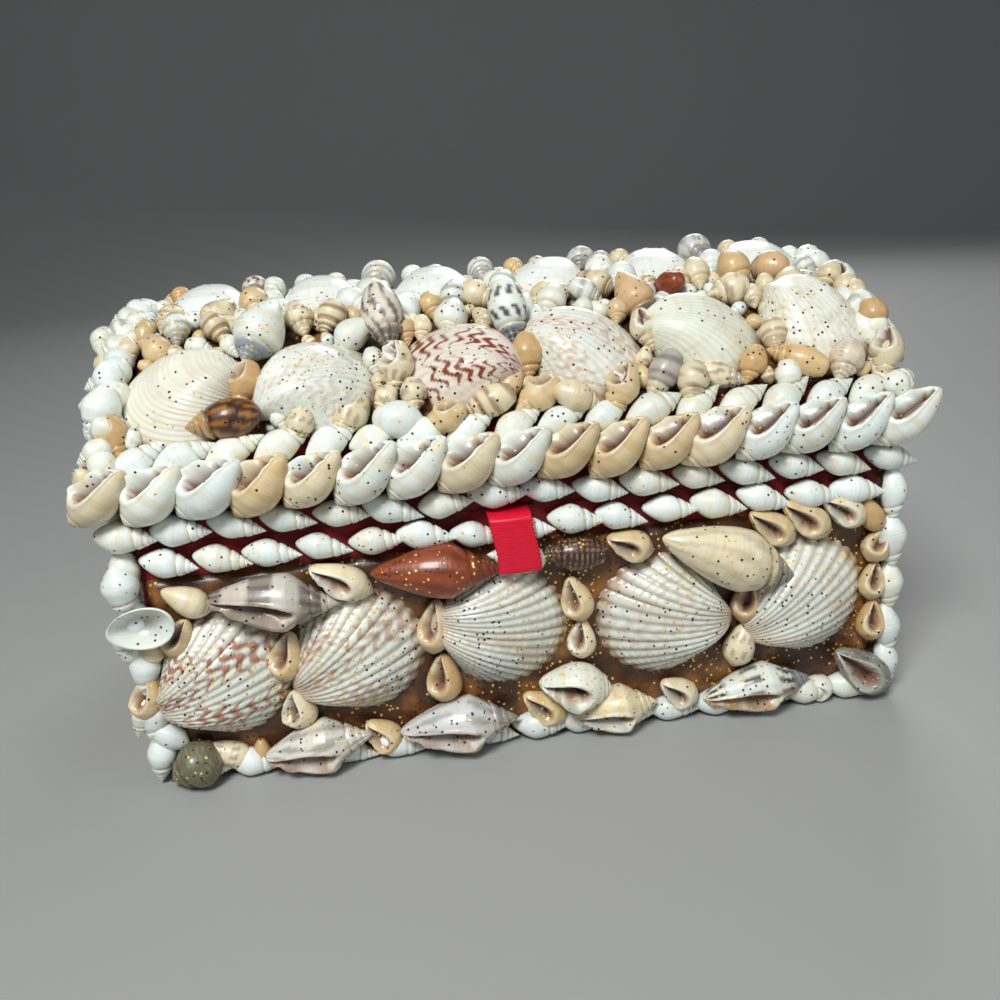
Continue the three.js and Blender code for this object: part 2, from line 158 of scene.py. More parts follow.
def signed_volume(points, triangles):
    """Volume of a closed skin, the sum of a · (b × c) / 6 over its triangles. It is negative where the
    triangles face inwards."""
    a, b, c = (points[triangles[:, i]] for i in range(3))
    return np.einsum("ij,ij->", a, np.cross(b, c)) / 6


print("a 10 by 12 skin has", sum(len(f) for f in skin_faces(10, 12)), "faces")


# %% A piece of many shells
class Piece:
    """Many closed grids that become one Blender mesh."""

    def __init__(self, name):
        self.name = name
        self.points, self.quads, self.triangles, self.tints, self.maps = [], [], [], [], []
        self.count = 0

    def add(self, grid, tint, uv):
        """grid is rings by columns by 3, and its first and last ring are a single point each. tint and uv
        hold a colour and a pattern place for each grid point, the third number being its glitter."""
        columns = grid.shape[1]

        def unrolled(values):
            rings = values[1:-1].reshape(-1, values.shape[-1])
            return np.concatenate([values[0, :1], rings, values[-1, :1]])

        points = unrolled(grid)
        quads, triangles = skin_faces(len(grid) - 2, columns)
        fan = np.concatenate([triangles, quads[:, :3], quads[:, [0, 2, 3]]])
        if signed_volume(points - points.mean(0), fan) < 0:
            quads, triangles = quads[:, ::-1], triangles[:, ::-1]
        self.points.append(points)
        self.quads.append(quads + self.count)
        self.triangles.append(triangles + self.count)
        self.tints.append(unrolled(tint))
        self.maps.append(unrolled(uv))
        self.count += len(points)

    def build(self, finish, slot, nodes=()):
        """Writes the mesh, gives it its material and body, and hides the solids that it stands for."""
        quads, triangles = np.concatenate(self.quads), np.concatenate(self.triangles)
        mesh = bpy.data.meshes.new(self.name)
        mesh.vertices.add(self.count)
        mesh.vertices.foreach_set("co", (np.concatenate(self.points) * MM).ravel())
        mesh.loops.add(4 * len(quads) + 3 * len(triangles))
        mesh.loops.foreach_set("vertex_index", np.concatenate([quads.ravel(), triangles.ravel()]))
        starts = np.arange(len(triangles)) * 3 + 4 * len(quads)
        mesh.polygons.add(len(quads) + len(triangles))
        mesh.polygons.foreach_set("loop_start", np.concatenate([np.arange(len(quads)) * 4, starts]))
        mesh.update(calc_edges=True)
        mesh.shade_smooth()
        colours = np.concatenate(self.tints)
        colours = np.concatenate([colours, np.ones((len(colours), 1))], 1)
        mesh.attributes.new("tint", "FLOAT_COLOR", "POINT").data.foreach_set("color", colours.ravel())
        places = np.concatenate(self.maps)
        mesh.attributes.new("pattern", "FLOAT_VECTOR", "POINT").data.foreach_set("vector", places.ravel())
        mesh.materials.append(finish)
        made = bpy.data.objects.new(self.name, mesh)
        bpy.context.scene.collection.objects.link(made)
        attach(made, "root")
        if nodes:
            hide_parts(*nodes)
        totals["triangles"] += 2 * len(quads) + len(triangles)
        totals["pieces"] += 1
        return made


totals = {"triangles": 0, "pieces": 0}
print("counted as the pieces are built:", ", ".join(totals))

# %% [markdown]
# ## Shader maths in Python
# The finishes mix masks by sums and products. Each would be a Math node, and a chain of them is hard to
# read. So a small class wraps a socket and turns Python's own operators into those nodes.


# %% A socket with operators
class Wire:
    """An output socket. Sums, differences and products with numbers or other wires add Math nodes."""

    def __init__(self, finish, socket):
        self.finish, self.socket = finish, socket

    def maths(self, operation, *values):
        """A Math node on the values, which are numbers or wires."""
        return self.finish.add("Math", {"operation": operation}, dict(enumerate(values)))

    def __add__(self, other):
        return self.maths("ADD", self, other)

    def __sub__(self, other):
        return self.maths("SUBTRACT", self, other)

    def __rsub__(self, other):
        return self.maths("SUBTRACT", other, self)

    def __mul__(self, other):
        return self.maths("MULTIPLY", self, other)

    __radd__, __rmul__ = __add__, __mul__

    def output(self, name):
        """Another output of the same node."""
        return Wire(self.finish, self.socket.node.outputs[name])

    def ramp(self, low, high):
        """0 below low, 1 above high, smooth between. low may be the larger one, which turns it round."""
        settings = {"interpolation_type": "SMOOTHSTEP"}
        if low < high:
            return self.finish.add("MapRange", settings, {0: self, 1: low, 2: high})
        return self.finish.add("MapRange", settings, {0: self, 1: high, 2: low, 3: 1.0, 4: 0.0})


print("operators:", [name for name in vars(Wire) if name.strip("_") in ("add", "sub", "rsub", "mul")])


# %% A material that holds the nodes
class Finish:
    """A material with a Principled shader, and the one method that adds any node."""

    def __init__(self, name, **constants):
        self.material = bpy.data.materials.new(name)
        self.material.use_nodes = True
        self.tree = self.material.node_tree
        self.shader = self.tree.nodes["Principled BSDF"]
        for socket, value in constants.items():
            self.shader.inputs[socket.replace("_", " ")].default_value = value

    def add(self, kind, settings=None, inputs=None, out=0):
        """A node of any type. Its settings are set first, then the values or links of its sockets."""
        made = self.tree.nodes.new("ShaderNode" + kind)
        for key, value in (settings or {}).items():
            if key == "stops":
                self.set_stops(made.color_ramp, value)
            else:
                setattr(made, key, value)
        for key, value in (inputs or {}).items():
            self.feed(value, made.inputs[key])
        return Wire(self, made.outputs[out])

    def set_stops(self, ramp, stops):
        """Gives a colour ramp its stops, each a position and a colour."""
        while len(ramp.elements) < len(stops):
            ramp.elements.new(0.5)
        for element, (position, shade) in zip(ramp.elements, stops):
            element.position = position
            element.color = (*shade, 1.0)

    def feed(self, value, socket):
        """Links a wire to a socket, or sets the socket's own value."""
        if isinstance(value, Wire):
            self.tree.links.new(value.socket, socket)
        elif socket.type == "RGBA":
            socket.default_value = (*value, 1.0)
        else:
            socket.default_value = value

    def mix(self, factor, a, b, blend="MIX"):
        """Colour a where factor is 0 and colour b where it is 1."""
        settings = {"data_type": "RGBA", "blend_type": blend}
        return self.add("Mix", settings, {0: factor, 6: a, 7: b}, out=2)

    def noise(self, place, scale, detail=2.0, roughness=0.5):
        """Cloudy values round 0.5, with scale features to a metre."""
        inputs = {"Vector": place, "Scale": scale, "Detail": detail, "Roughness": roughness}
        return self.add("TexNoise", None, inputs)

    def set(self, **links):
        """Feeds the shader's sockets and hands back the finished material."""
        for socket, value in links.items():
            self.feed(value, self.shader.inputs[socket.replace("_", " ")])
        return self.material


def colour(red, green, blue):
    """A colour picked on screen, 0 to 255, as the linear values that shaders use."""
    value = np.array([red, green, blue]) / 255
    return np.where(value <= 0.04045, value / 12.92, ((value + 0.055) / 1.055) ** 2.4)


print("white porcelain is", colour(236, 234, 228).round(2))

# %% [markdown]
# ## The spiral shell
# Whelks, snails and the little white spindles are all the same idea: a tube that winds round an axis while
# it grows. A real tube would hide most of its faces inside, so only the outside is made here, as one skin
# round the axis. Its radius follows the outline of the whole shell, with a groove where one turn meets the
# next. The groove climbs one turn for each trip round, and that alone makes the eye see a spiral. The mouth
# is a pit in the skin with a lip along its edge.


# %% Kinds of spiral shell
@dataclass
class Whelk:
    """A spiral shell's form, as shares of its length."""

    girth: float = 0.25  # widest radius
    belly: float = 0.40  # where it is widest, from the front notch
    spire: float = 0.58  # where the last turn meets the spire
    step: float = 0.60  # each turn's height as a share of the one before
    nose: float = 0.28  # radius at the notch, as a share of the widest
    shoulder: float = 1.35  # 1 is a straight cone, and more is rounder
    suture: float = 0.2  # depth of the groove between turns
    growth: float = 0.14  # how much the last turn grows in one trip round
    folds: int = 0  # folds that run down each turn
    fold_height: float = 0.0  # how far they stand out
    mouth_at: float = 0.30  # middle of the mouth
    mouth_length: float = 0.27  # half its length
    mouth_width: float = 0.42  # half its width, in radians
    flare: float = 0.0  # how much wider the mouth is towards the spire
    pit: float = 0.55  # how deep the mouth is, as a share of the radius
    lip: float = 0.12  # how far its lip stands out


SPINDLE = Whelk(girth=0.265, belly=0.4, spire=0.56, step=0.62, nose=0.2, shoulder=1.3, suture=0.16)
MOUTHED = Whelk(
    girth=0.28, belly=0.55, spire=0.76, step=0.6, nose=0.2, shoulder=2.0, suture=0.12, growth=0.06,
    mouth_at=0.35, mouth_length=0.31, mouth_width=0.46, flare=0.3, pit=0.85, lip=0.24,
)
CONCH = Whelk(girth=0.2, belly=0.5, spire=0.64, step=0.66, nose=0.28, shoulder=1.3, lip=0.14)
STROMB = Whelk(
    girth=0.23, belly=0.6, spire=0.68, step=0.66, nose=0.18, shoulder=1.0, suture=0.16, growth=0.1,
    folds=13, fold_height=0.035,
    mouth_at=0.33, mouth_length=0.34, mouth_width=0.4, flare=0.2, pit=0.95, lip=0.2,
)
FOLDED = replace(CONCH, girth=0.21, folds=13, fold_height=0.07)
SNAIL = Whelk(girth=0.42, belly=0.42, spire=0.56, step=0.6, nose=0.5, shoulder=1.5, suture=0.26)
NASSA = Whelk(
    girth=0.37, belly=0.62, spire=0.84, nose=0.26, shoulder=2.3, suture=0.06, growth=0.06,
    mouth_at=0.35, mouth_length=0.33, mouth_width=0.6, flare=0.3, pit=0.85, lip=0.17,
)
TURBAN = replace(
    NASSA, belly=0.45, spire=0.62, nose=0.36, shoulder=1.4, suture=0.24, mouth_at=0.26, mouth_length=0.25,
)
BARREL = Whelk(girth=0.32, belly=0.42, spire=0.6, step=0.62, nose=0.5, shoulder=1.7, suture=0.24)
CONE = Whelk(girth=0.34, belly=0.6, spire=0.68, step=0.62, nose=0.2, shoulder=1.25, suture=0.26)
EGG = Whelk(girth=0.34, belly=0.5, spire=0.9, step=0.5, nose=0.4, shoulder=2.2, suture=0.08)
KINDS = (SPINDLE, MOUTHED, CONCH, STROMB, FOLDED, SNAIL, NASSA, TURBAN, BARREL, CONE, EGG)
slim, stout = min(kind.girth for kind in KINDS), max(kind.girth for kind in KINDS)
print(len(KINDS), "kinds of spiral shell, widest radius from", slim, "to", stout)

# %% [markdown]
# ## Its surface
# Two numbers say where a point of the skin is: x along the axis, from the notch to the tip, and the turn
# round it. Everything else is a formula on whole arrays of those two. Columns crowd together round the
# mouth, where the form changes fastest, and rings crowd together at the groove.


# %% Outline and mouth
MOUTH_AZIMUTH = -0.42  # the turn at which the mouth lies, in radians
LAST_TURN = -0.42  # level at which the groove begins


def smooth(value, low, high):
    """0 below low, 1 above high, with a soft S between. low may be the larger one."""
    t = np.clip((value - low) / (high - low), 0, 1)
    return t * t * (3 - 2 * t)


def whelk_outline(form, x):
    """Radius of the whole shell, 1 where it is widest: a quarter of a sine from the nose to the belly,
    rounded off at the notch, and from there on 1 − (way to the tip) ^ shoulder."""
    front = np.clip(x / form.belly, 0, 1)
    back = np.clip((x - form.belly) / (1 - form.belly), 0, 1)
    outline = form.nose + (1 - form.nose) * np.sin(front * math.pi / 2) ** 1.1
    outline = outline * np.sqrt(1 - (1 - np.clip(front / 0.16, 0, 1)) ** 2)
    return outline * (1 - back**form.shoulder)


def whelk_mouth(form, x, turn):
    """Masks of the mouth's pit and lip, and reach, which is 1 on the mouth's edge. The mouth is an ellipse
    in x and the turn. The lip is a ridge just outside it, lower on the far side and towards the spire."""
    azimuth = np.mod(turn - MOUTH_AZIMUTH + math.pi, TAU) - math.pi
    run = (x - form.mouth_at) / form.mouth_length
    width = form.mouth_width * (1 + form.flare * np.clip(run, -1, 1))
    reach = np.sqrt(run**2 + (azimuth / width) ** 2)
    pit = smooth(reach, 1.0, 0.7)
    lip = np.exp(-(((reach - 1.12) / 0.14) ** 2)) * (0.4 + 0.6 * smooth(azimuth, -0.6, 0.15))
    lip = lip * (0.35 + 0.65 * smooth(run, 1.1, 0.4))
    return pit, lip, reach


places = np.array([0.1, SPINDLE.belly, 1.0])
print("outline near the nose, at the belly and at the tip:", whelk_outline(SPINDLE, places).round(2))

# %% The spiral surface
TURN_STEPS = np.array([0.0, 0.13, 0.42, 0.76])  # rings of one turn, as shares of it
FOLLOWED = 2.3  # how far to either side of the front, in radians, the rings follow the spiral


def whelk_places(form, facing, body, turns, columns, crowding):
    """x and turn of each grid point. The body has even rings, and the spire has a few for each turn. On the
    side that faces out they climb with the spiral, and on the hidden side they fall back."""
    t = (np.arange(columns) / columns - 0.5)[None, :]
    turn = facing + TAU * t - crowding * np.sin(TAU * t)
    away = turn - facing
    fall = np.sign(away) * FOLLOWED * (math.pi - np.abs(away)) / (math.pi - FOLLOWED)
    climb = (facing + np.where(np.abs(away) < FOLLOWED, away, fall)) / TAU
    rings = np.concatenate([[-0.32, -0.1]] + [k + TURN_STEPS for k in range(turns)])[:, None]
    spiral = 1 - (1 - form.spire) * form.step ** (rings + climb)
    share = ((np.arange(body) + 0.5) / body)[:, None]
    tip = 1 - 0.4 * (1 - spiral[-1:])
    x = np.concatenate([0 * tip, share * spiral[:1], spiral, tip, 0 * tip + 1])
    return x, turn + 0 * x


def whelk_grid(form, facing, body, turns, columns, crowding):
    """The skin of a spiral shell of length 1. Its axis is X, with the tip at 1.
    radius = outline(x) × (1 − groove) × (1 − growth × share of the last turn already made) + folds, and
    all of it × (1 − pit in the mouth) + lip. level counts turns up the spire, and the groove lies where
    it is a whole number. Folds fade out at both ends and towards the mouth."""
    x, turn = whelk_places(form, facing, body, turns, columns, crowding)
    outline = whelk_outline(form, x)
    pit, lip, reach = whelk_mouth(form, x, turn)
    wound = np.mod(turn, TAU) / TAU
    level = np.log(np.clip(1 - x, 1e-3, 1) / (1 - form.spire)) / math.log(form.step) - wound
    part = np.mod(level, 1)
    groove = np.maximum(smooth(part, 0.15, 0), 0.8 * smooth(part, 0.74, 1))
    groove = np.where(level < LAST_TURN, 0, groove)
    grown = 1 - form.growth * wound * smooth(level, 0.1, -0.3)
    radius = outline * (1 - form.suture * groove) * grown
    if form.folds:
        fold = np.abs(np.cos(0.5 * form.folds * turn + 2 * x)) ** 0.8
        fade = smooth(x, 0.1, 0.4) * smooth(x, 0.97, 0.8) * smooth(reach, 1.2, 2.0)
        radius = radius + form.fold_height * fold * fade * outline
    ends = smooth(x, 0.0, 0.06) * smooth(x, 1.0, 0.9)
    radius = form.girth * (radius * (1 - form.pit * pit) + form.lip * lip * ends)
    points = np.stack([x, -np.sin(turn) * radius, np.cos(turn) * radius], -1)
    masks = {"x": x, "turn": turn, "level": level, "pit": pit, "lip": lip, "groove": groove}
    return points, masks


skin, _ = whelk_grid(SPINDLE, math.pi, 9, 4, 16, 0)
print("a spindle of length 1 spans", (skin.max((0, 1)) - skin.min((0, 1))).round(2))

# %% [markdown]
# ## Its colours
# Each shell has a look: the colour of its back, of the marks on it, of its spire, and of the lip and the
# inside of the mouth. The marks are bands round it, flames down it, or a chequer of both, and they are
# worked out at the same grid points, so they always follow the spiral.


# %% Looks
@dataclass
class Look:
    """The colours of a spiral shell. Where none is given, the spire is like the back and the lip white."""

    back: np.ndarray
    mark: np.ndarray
    pattern: str
    strength: float  # of the marks, from 0 to 1
    spire: np.ndarray = None
    lip: np.ndarray = None


WHITE = colour(233, 240, 232)
PORCELAIN = colour(233, 243, 242)
CREAM = colour(232, 220, 188)
BEIGE = colour(220, 198, 156)
TAN = colour(206, 172, 120)
PEACH = colour(214, 180, 140)
GREY = colour(128, 122, 114)
PALE_GREY = colour(184, 178, 170)
SLATE = colour(84, 92, 108)
BLUE_GREY = colour(112, 130, 156)
UMBER = colour(62, 34, 22)
RUST = colour(172, 92, 42)
OLIVE = colour(108, 104, 78)
INSIDE = colour(146, 104, 84)  # inside of a mouth
AMBER = colour(104, 60, 26)  # glue; on a shell near the wall it also stands for painted shade where shell and wall meet
GROOVE_SHADE = colour(208, 188, 162)  # painted shade in the groove between turns, as a factor

LOOKS = {
    "white": Look(PORCELAIN, CREAM, "bands", 0.2),
    "ivory": Look(WHITE, CREAM, "bands", 0.5),
    "cream": Look(CREAM, BEIGE, "bands", 0.5, lip=WHITE),
    "beige": Look(BEIGE, TAN, "bands", 0.5, lip=CREAM),
    "tan": Look(TAN, RUST, "flames", 0.15, lip=CREAM),
    "orange": Look(colour(218, 188, 138), TAN, "rings", 0.4, lip=CREAM),
    "peach": Look(PEACH, TAN, "bands", 0.5, spire=SLATE, lip=colour(226, 176, 130)),
    "grey_bands": Look(colour(208, 202, 192), colour(92, 78, 68), "broad", 0.9, lip=colour(190, 176, 160)),
    "grey_folds": Look(
        colour(222, 220, 212), colour(128, 118, 108), "flames", 0.6, lip=colour(214, 190, 172),
    ),
    "grey": Look(
        colour(216, 218, 216), colour(136, 128, 124), "flames", 0.6, spire=GREY, lip=colour(222, 206, 190),
    ),
    "white_grey": Look(WHITE, colour(158, 152, 146), "bands", 0.7, spire=PALE_GREY),
    "grey_rings": Look(PALE_GREY, colour(126, 118, 110), "bands", 0.8, spire=CREAM),
    "brown": Look(
        colour(148, 70, 36), colour(92, 36, 18), "flames", 0.6,
        spire=colour(112, 48, 28), lip=colour(146, 84, 56),
    ),
    "brown_rings": Look(colour(222, 214, 200), colour(84, 70, 60), "flames", 0.85, spire=colour(92, 84, 84)),
    "dark_rings": Look(UMBER, colour(170, 140, 112), "rings", 0.75),
    "tan_rings": Look(CREAM, colour(150, 112, 72), "bands", 0.8),
    "cream_rings": Look(CREAM, colour(166, 146, 120), "bands", 0.8),
    "tiger": Look(UMBER, colour(190, 124, 44), "flames", 0.7, spire=TAN),
    "black_white": Look(WHITE, colour(48, 46, 50), "chequer", 0.95, spire=SLATE, lip=PEACH),
    "blue_tip": Look(WHITE, CREAM, "bands", 0.5, spire=BLUE_GREY),
    "slate": Look(colour(140, 142, 134), colour(84, 86, 84), "flames", 0.6, lip=colour(200, 204, 198)),
    "olive": Look(OLIVE, colour(150, 146, 120), "rings", 0.6),
    "speckled": Look(CREAM, colour(110, 86, 62), "chequer", 0.55),
    "beaded": Look(colour(226, 214, 192), colour(140, 124, 106), "rings", 0.6),
    "grey_cream": Look(CREAM, GREY, "flames", 0.75, spire=PALE_GREY),
    "cream_grey": Look(
        colour(236, 226, 194), colour(166, 150, 132), "flames", 0.45, spire=colour(110, 106, 104),
    ),
}


def whelk_tint(look, masks, shade):
    """Colour of each grid point: back, then marks, spire, painted shade in the groove, lip, and the mouth's
    inside with painted shade deeper in, each laid over the last by its mask. A pattern is a wave in x, in
    the turn, or both, cut off softly."""
    x, turn, level = masks["x"], masks["turn"], masks["level"]
    phase = rng.uniform(0, TAU)
    wobble = 0.6 * np.sin(5 * x + phase)
    around = np.sin(level * TAU + phase)
    down = np.sin(9 * turn + 6 * wobble + phase)
    waves = {
        "bands": smooth(around, 0.0, 0.9),
        "flames": smooth(down + 0.5 * np.sin(17 * x + 2 * turn), 0.1, 0.8),
        "broad": smooth(np.sin(TAU * 2.7 * x + 1.0), -0.2, 0.4) * (0.7 + 0.3 * smooth(down, -0.4, 0.5)),
        "rings": smooth(np.sin(TAU * 13 * x) + 0.5 * np.sin(16 * turn), 0.5, 1.1),
        "chequer": smooth(np.sin(TAU * 3.2 * x + phase), -0.3, 0.3) * smooth(down, -0.4, 0.5),
    }
    spire = look.back if look.spire is None else look.spire
    lip = WHITE if look.lip is None else look.lip
    share = (waves[look.pattern] * look.strength)[..., None]
    tint = look.back + (look.mark - look.back) * share
    up = smooth(level, -0.15, 0.5)[..., None] * (0.75 if look.spire is not None else 0)
    tint = tint + (spire - tint) * up
    # Painted shade: the groove between turns is darkened.
    tint = tint * (1 - masks["groove"][..., None] ** 2 * (1 - GROOVE_SHADE))
    tint = tint * shade
    rim = np.clip(masks["lip"] * 1.5, 0, 1)[..., None]
    tint = tint + (lip - tint) * rim
    deep = masks["pit"][..., None]
    # The mouth's inside is brown, its own colour, and deeper in the pit it darkens towards umber: painted
    # shade.
    inner = INSIDE + (UMBER - INSIDE) * smooth(deep, 0.5, 1.0) * 0.8
    return tint + (inner - tint) * smooth(deep, 0.05, 0.5)


print(len(LOOKS), "looks:", ", ".join(LOOKS))

# %% [markdown]
# ## Gluing a shell on
# A shell is scaled, spun about its own axis so that its back or its mouth shows, turned on the wall, and set
# down so that its side touches the glue. Where it comes close to the wall it turns amber: the glue that has
# crept up it, and painted shade where shell and wall meet.


# %% Setting shells down
def settle(piece, place, points, masks, tint, stain=1.0, sparkle=0.4):
    """Moves local points onto a place, tints what is near the wall amber for crept glue and painted shade
    where shell and wall meet, and adds them to the piece. stain sets how strong that tint is. Its edge on
    the shell is a wave, and nothing reaches below the ground."""
    height = points[..., 2]
    lumpy = 0.5 * np.sin(points[..., 0] * 1.7 + rng.uniform(0, TAU)) + 0.35 * np.sin(points[..., 1] * 2.9)
    # Amber near the wall: glue crept up the shell, and painted shade where shell and wall meet.
    glue_and_shade = smooth(height + lumpy, 3.4, 0.5)[..., None] * 0.85 * stain
    tint = tint + (AMBER - tint) * glue_and_shade
    world = place.foot + (points @ np.stack([place.along, place.up, place.out]))
    world[..., 2] += max(0.0, 0.2 - world[..., 2].min())
    flecks = sparkle + 0 * masks["x"]
    piece.add(world, tint, np.stack([masks["x"], masks["turn"] / TAU, flecks], -1))


def turned(points, angle):
    """Points turned in the plane of the wall, by degrees against the clock."""
    c, s = math.cos(math.radians(angle)), math.sin(math.radians(angle))
    x, y = points[..., 0] * c - points[..., 1] * s, points[..., 0] * s + points[..., 1] * c
    return np.stack([x, y, points[..., 2]], -1)


def spun(points, spin):
    """Points turned about the shell's own axis, by degrees."""
    c, s = math.cos(math.radians(spin)), math.sin(math.radians(spin))
    y, z = points[..., 1] * c - points[..., 2] * s, points[..., 1] * s + points[..., 2] * c
    return np.stack([points[..., 0], y, z], -1)


def tipped(points, rise):
    """Points turned in the upright plane through the axis, by degrees, which lifts the tip."""
    c, s = math.cos(math.radians(rise)), math.sin(math.radians(rise))
    x, z = points[..., 0] * c - points[..., 2] * s, points[..., 0] * s + points[..., 2] * c
    return np.stack([x, points[..., 1], z], -1)


tip = np.array([[1.0, 0.0, 0.0]])
print("a tip turned, and lifted, by 90 degrees:", turned(tip, 90).round(2), tipped(tip, 90).round(2))

# %% One spiral shell on the box
# Spin about the shell's own axis, in degrees, and grids: rings of the body, turns of the spire, columns.
BACK_UP, MOUTH_UP, MOUTH_ASIDE, MOUTH_DOWN = 180, 30, 54, 38
FINE, MEDIUM, PLAIN = (26, 4, 36), (16, 3, 26), (7, 3, 12)
MOUTH_CROWDING = 0.62  # how much the columns crowd round a mouth that shows
MIDDLE = 0.47  # the part of the axis that lies over the place
SINK = 0.84  # a shell lies a little deeper than its radius, in the glue


def glue_whelk(piece, place, form, look, length, angle, spin, grid, height=None, rise=0.0, sparkle=0.4):
    """One spiral shell, its middle over the place and its tip turned to the angle. Its axis lies at a height
    over the wall, or else as high as its own radius allows. rise lifts the tip, in degrees."""
    facing = math.radians((90 - spin) % 360 - 90)
    crowding = 0.0 if spin == BACK_UP else MOUTH_CROWDING
    points, masks = whelk_grid(form, facing, *grid, crowding)
    tint = whelk_tint(LOOKS[look], masks, rng.uniform(0.9, 1.04))
    points = spun((points - [MIDDLE, 0, 0]) * length, spin)
    points = turned(tipped(points, rise), angle)
    raised = GLUE + form.girth * length * SINK if height is None else height
    settle(piece, place, points + [0, 0, raised], masks, tint, sparkle=sparkle)


for quality, rings in (("fine", FINE), ("medium", MEDIUM), ("plain", PLAIN)):
    skin, _ = whelk_grid(SNAIL, 0.0, *rings, 0.0)
    print(f"a {quality} shell has {skin.shape[0]} rings of {skin.shape[1]} points")

# %% [markdown]
# ## The ribbed half shell
# A cockle grows at its edge only, and each new edge is a larger copy of the last one, swung a little about
# the hinge. So the whole valve is one edge curve, shrunk step by step towards the beak and turned up as it
# shrinks. Ribs and growth rings are then pushed out along the surface normal.


# %% The cockle surface
@dataclass
class Cockle:
    """A half shell's form and colours. Heights are in millimetres, the other amounts run from 0 to 1."""

    ribs: int = 22  # round the whole edge, and those beside the hinge fade out
    rib_height: float = 0.3
    rings: int = 0  # growth rings
    ring_height: float = 0.0
    knobs: int = 0  # knobs along each rib
    swing: float = 1.0  # how fast the edge turns up as it shrinks
    fullness: float = 0.36  # how much the flanks bulge
    tint: np.ndarray = None
    stain: float = 0.3  # brown blotches
    marks: np.ndarray = None  # colour of the zigzags
    mark_share: float = 0.0
    flush: np.ndarray = None  # colour of the beak
    sparkle: float = 0.8  # glitter


def normals(points):
    """Unit normals of a grid that closes round its columns, from the slopes along its two directions."""
    down = np.gradient(points, axis=0)
    round_it = np.roll(points, -1, 1) - np.roll(points, 1, 1)
    normal = np.cross(round_it, down)
    return normal / np.maximum(np.linalg.norm(normal, axis=-1, keepdims=True), 1e-9)


PLAIN_RISE = 0.322  # height of the valve below as a share of its length, before it is scaled


def cockle_grid(form, size, rows, columns):
    """Point = g × edge(angle), turned up about the hinge by −swing × log g. The edge is an ellipse that
    just misses the beak, g runs from almost 0 at the beak to 1 at the edge. Pushed out along the normal:
    rib height × |sin(ribs × angle / 2)| × knobs, and ring height × a sawtooth of g. A flat floor closes
    the shell underneath."""
    length, width, height = size
    g = (0.05 + 0.95 * np.linspace(0, 1, rows) ** 0.85)[:, None]
    angle = ((np.arange(columns) + 0.5) / columns * TAU)[None, :]
    away = g * length * (0.05 + 0.475 * (1 - np.cos(angle)))
    across = g * width / 2 * np.sin(angle) * (1 + 0.08 * np.cos(angle))
    lift = -form.swing * np.log(g)
    rise = np.sin(lift) * away * (1 + form.fullness * np.sin(angle) ** 2)
    rise = rise * height / (PLAIN_RISE * length)
    points = np.stack([length / 2 - np.cos(lift) * away, across, rise], -1)
    normal = normals(points)
    normal = normal * np.sign(normal[rows // 2, columns // 2, 2])
    spread = smooth(np.abs(angle - math.pi), 2.9, 2.2)
    rib = np.abs(np.sin(0.5 * form.ribs * angle)) ** 0.7
    ring = np.mod(g * form.rings, 1.0) if form.rings else 0 * g
    knob = 1 + 0.22 * np.sin(TAU * form.knobs * g) if form.knobs else 1 + 0 * g
    push = form.rib_height * rib * knob * spread * g**0.7 + form.ring_height * ring * (g > 0.15)
    points = points + normal * push[..., None]
    points[..., 2] = np.maximum(points[..., 2], 0)
    beak = points[:1].mean(1, keepdims=True)
    points = np.concatenate([beak + 0 * points[:1], points, 0 * points[:1]])
    g = np.concatenate([g[:1], g, g[-1:]])
    masks = {"x": g + 0 * angle, "turn": angle + 0 * g, "rib": rib + 0 * g}
    return points, masks


skin, _ = cockle_grid(Cockle(), (30, 30, 9.5), 20, 60)
print("a cockle spans", (skin.max((0, 1)) - skin.min((0, 1))).round(1), "mm")

# %% The cockle's colours
BLOTCH = colour(206, 156, 96)
VALLEY_SHADE = colour(140, 104, 72)  # painted shade between the ribs, as a factor
RIM_SHADE = colour(196, 148, 88)  # glue along the rim, as a factor


def cockle_tint(form, g, around, rib):
    """Colour of each grid point: blotches, zigzag marks that follow the growth rings and are broken up, a
    flush at the beak, painted shade between the ribs, and glue along the rim."""
    phase = rng.uniform(0, TAU, 3)
    side = np.sin(around * 2.3 + phase[0]) + 0.7 * np.sin(g * 9 + around * 5)
    blotch = smooth(side, 0.5, 1.5)[..., None] * form.stain
    tint = form.tint + (BLOTCH - form.tint) * blotch * 0.5
    if form.marks is not None:
        zigzag = np.sin(TAU * 11 * g + 1.9 * np.sin(14 * around + phase[1]) + phase[2])
        broken = 0.6 * np.sin(5 * around + phase[2]) + 0.5 * np.sin(13 * g + 3 * around)
        marked = smooth(zigzag + broken, 0.55, 0.85)[..., None] * form.mark_share
        tint = tint + (form.marks - tint) * marked
    if form.flush is not None:
        beak = smooth(g, 0.45, 0.05)[..., None]
        tint = tint + (form.flush - tint) * beak * 0.5
    # Painted shade between the ribs, stronger where the ribs stand higher.
    valley = (1 - rib**0.6) * min(form.rib_height / 0.5, 1.0)
    tint = tint * (1 - valley * (1 - VALLEY_SHADE))
    edge = smooth(g, 0.86, 1.0)[..., None] * 0.7
    return tint * (1 - edge * (1 - RIM_SHADE))


def glue_cockle(piece, place, form, size, angle, grid):
    """One half shell, open side down, its hinge turned to the angle. grid is its rows and columns."""
    points, masks = cockle_grid(form, size, *grid)
    tint = cockle_tint(form, masks["x"], masks["turn"], masks["rib"][..., None])
    points = turned(points, angle) + [0, 0, GLUE]
    settle(piece, place, points, masks, tint, stain=0.8, sparkle=form.sparkle)


print("painted_shade between the ribs leaves", VALLEY_SHADE.round(2), "of a shell's colour")

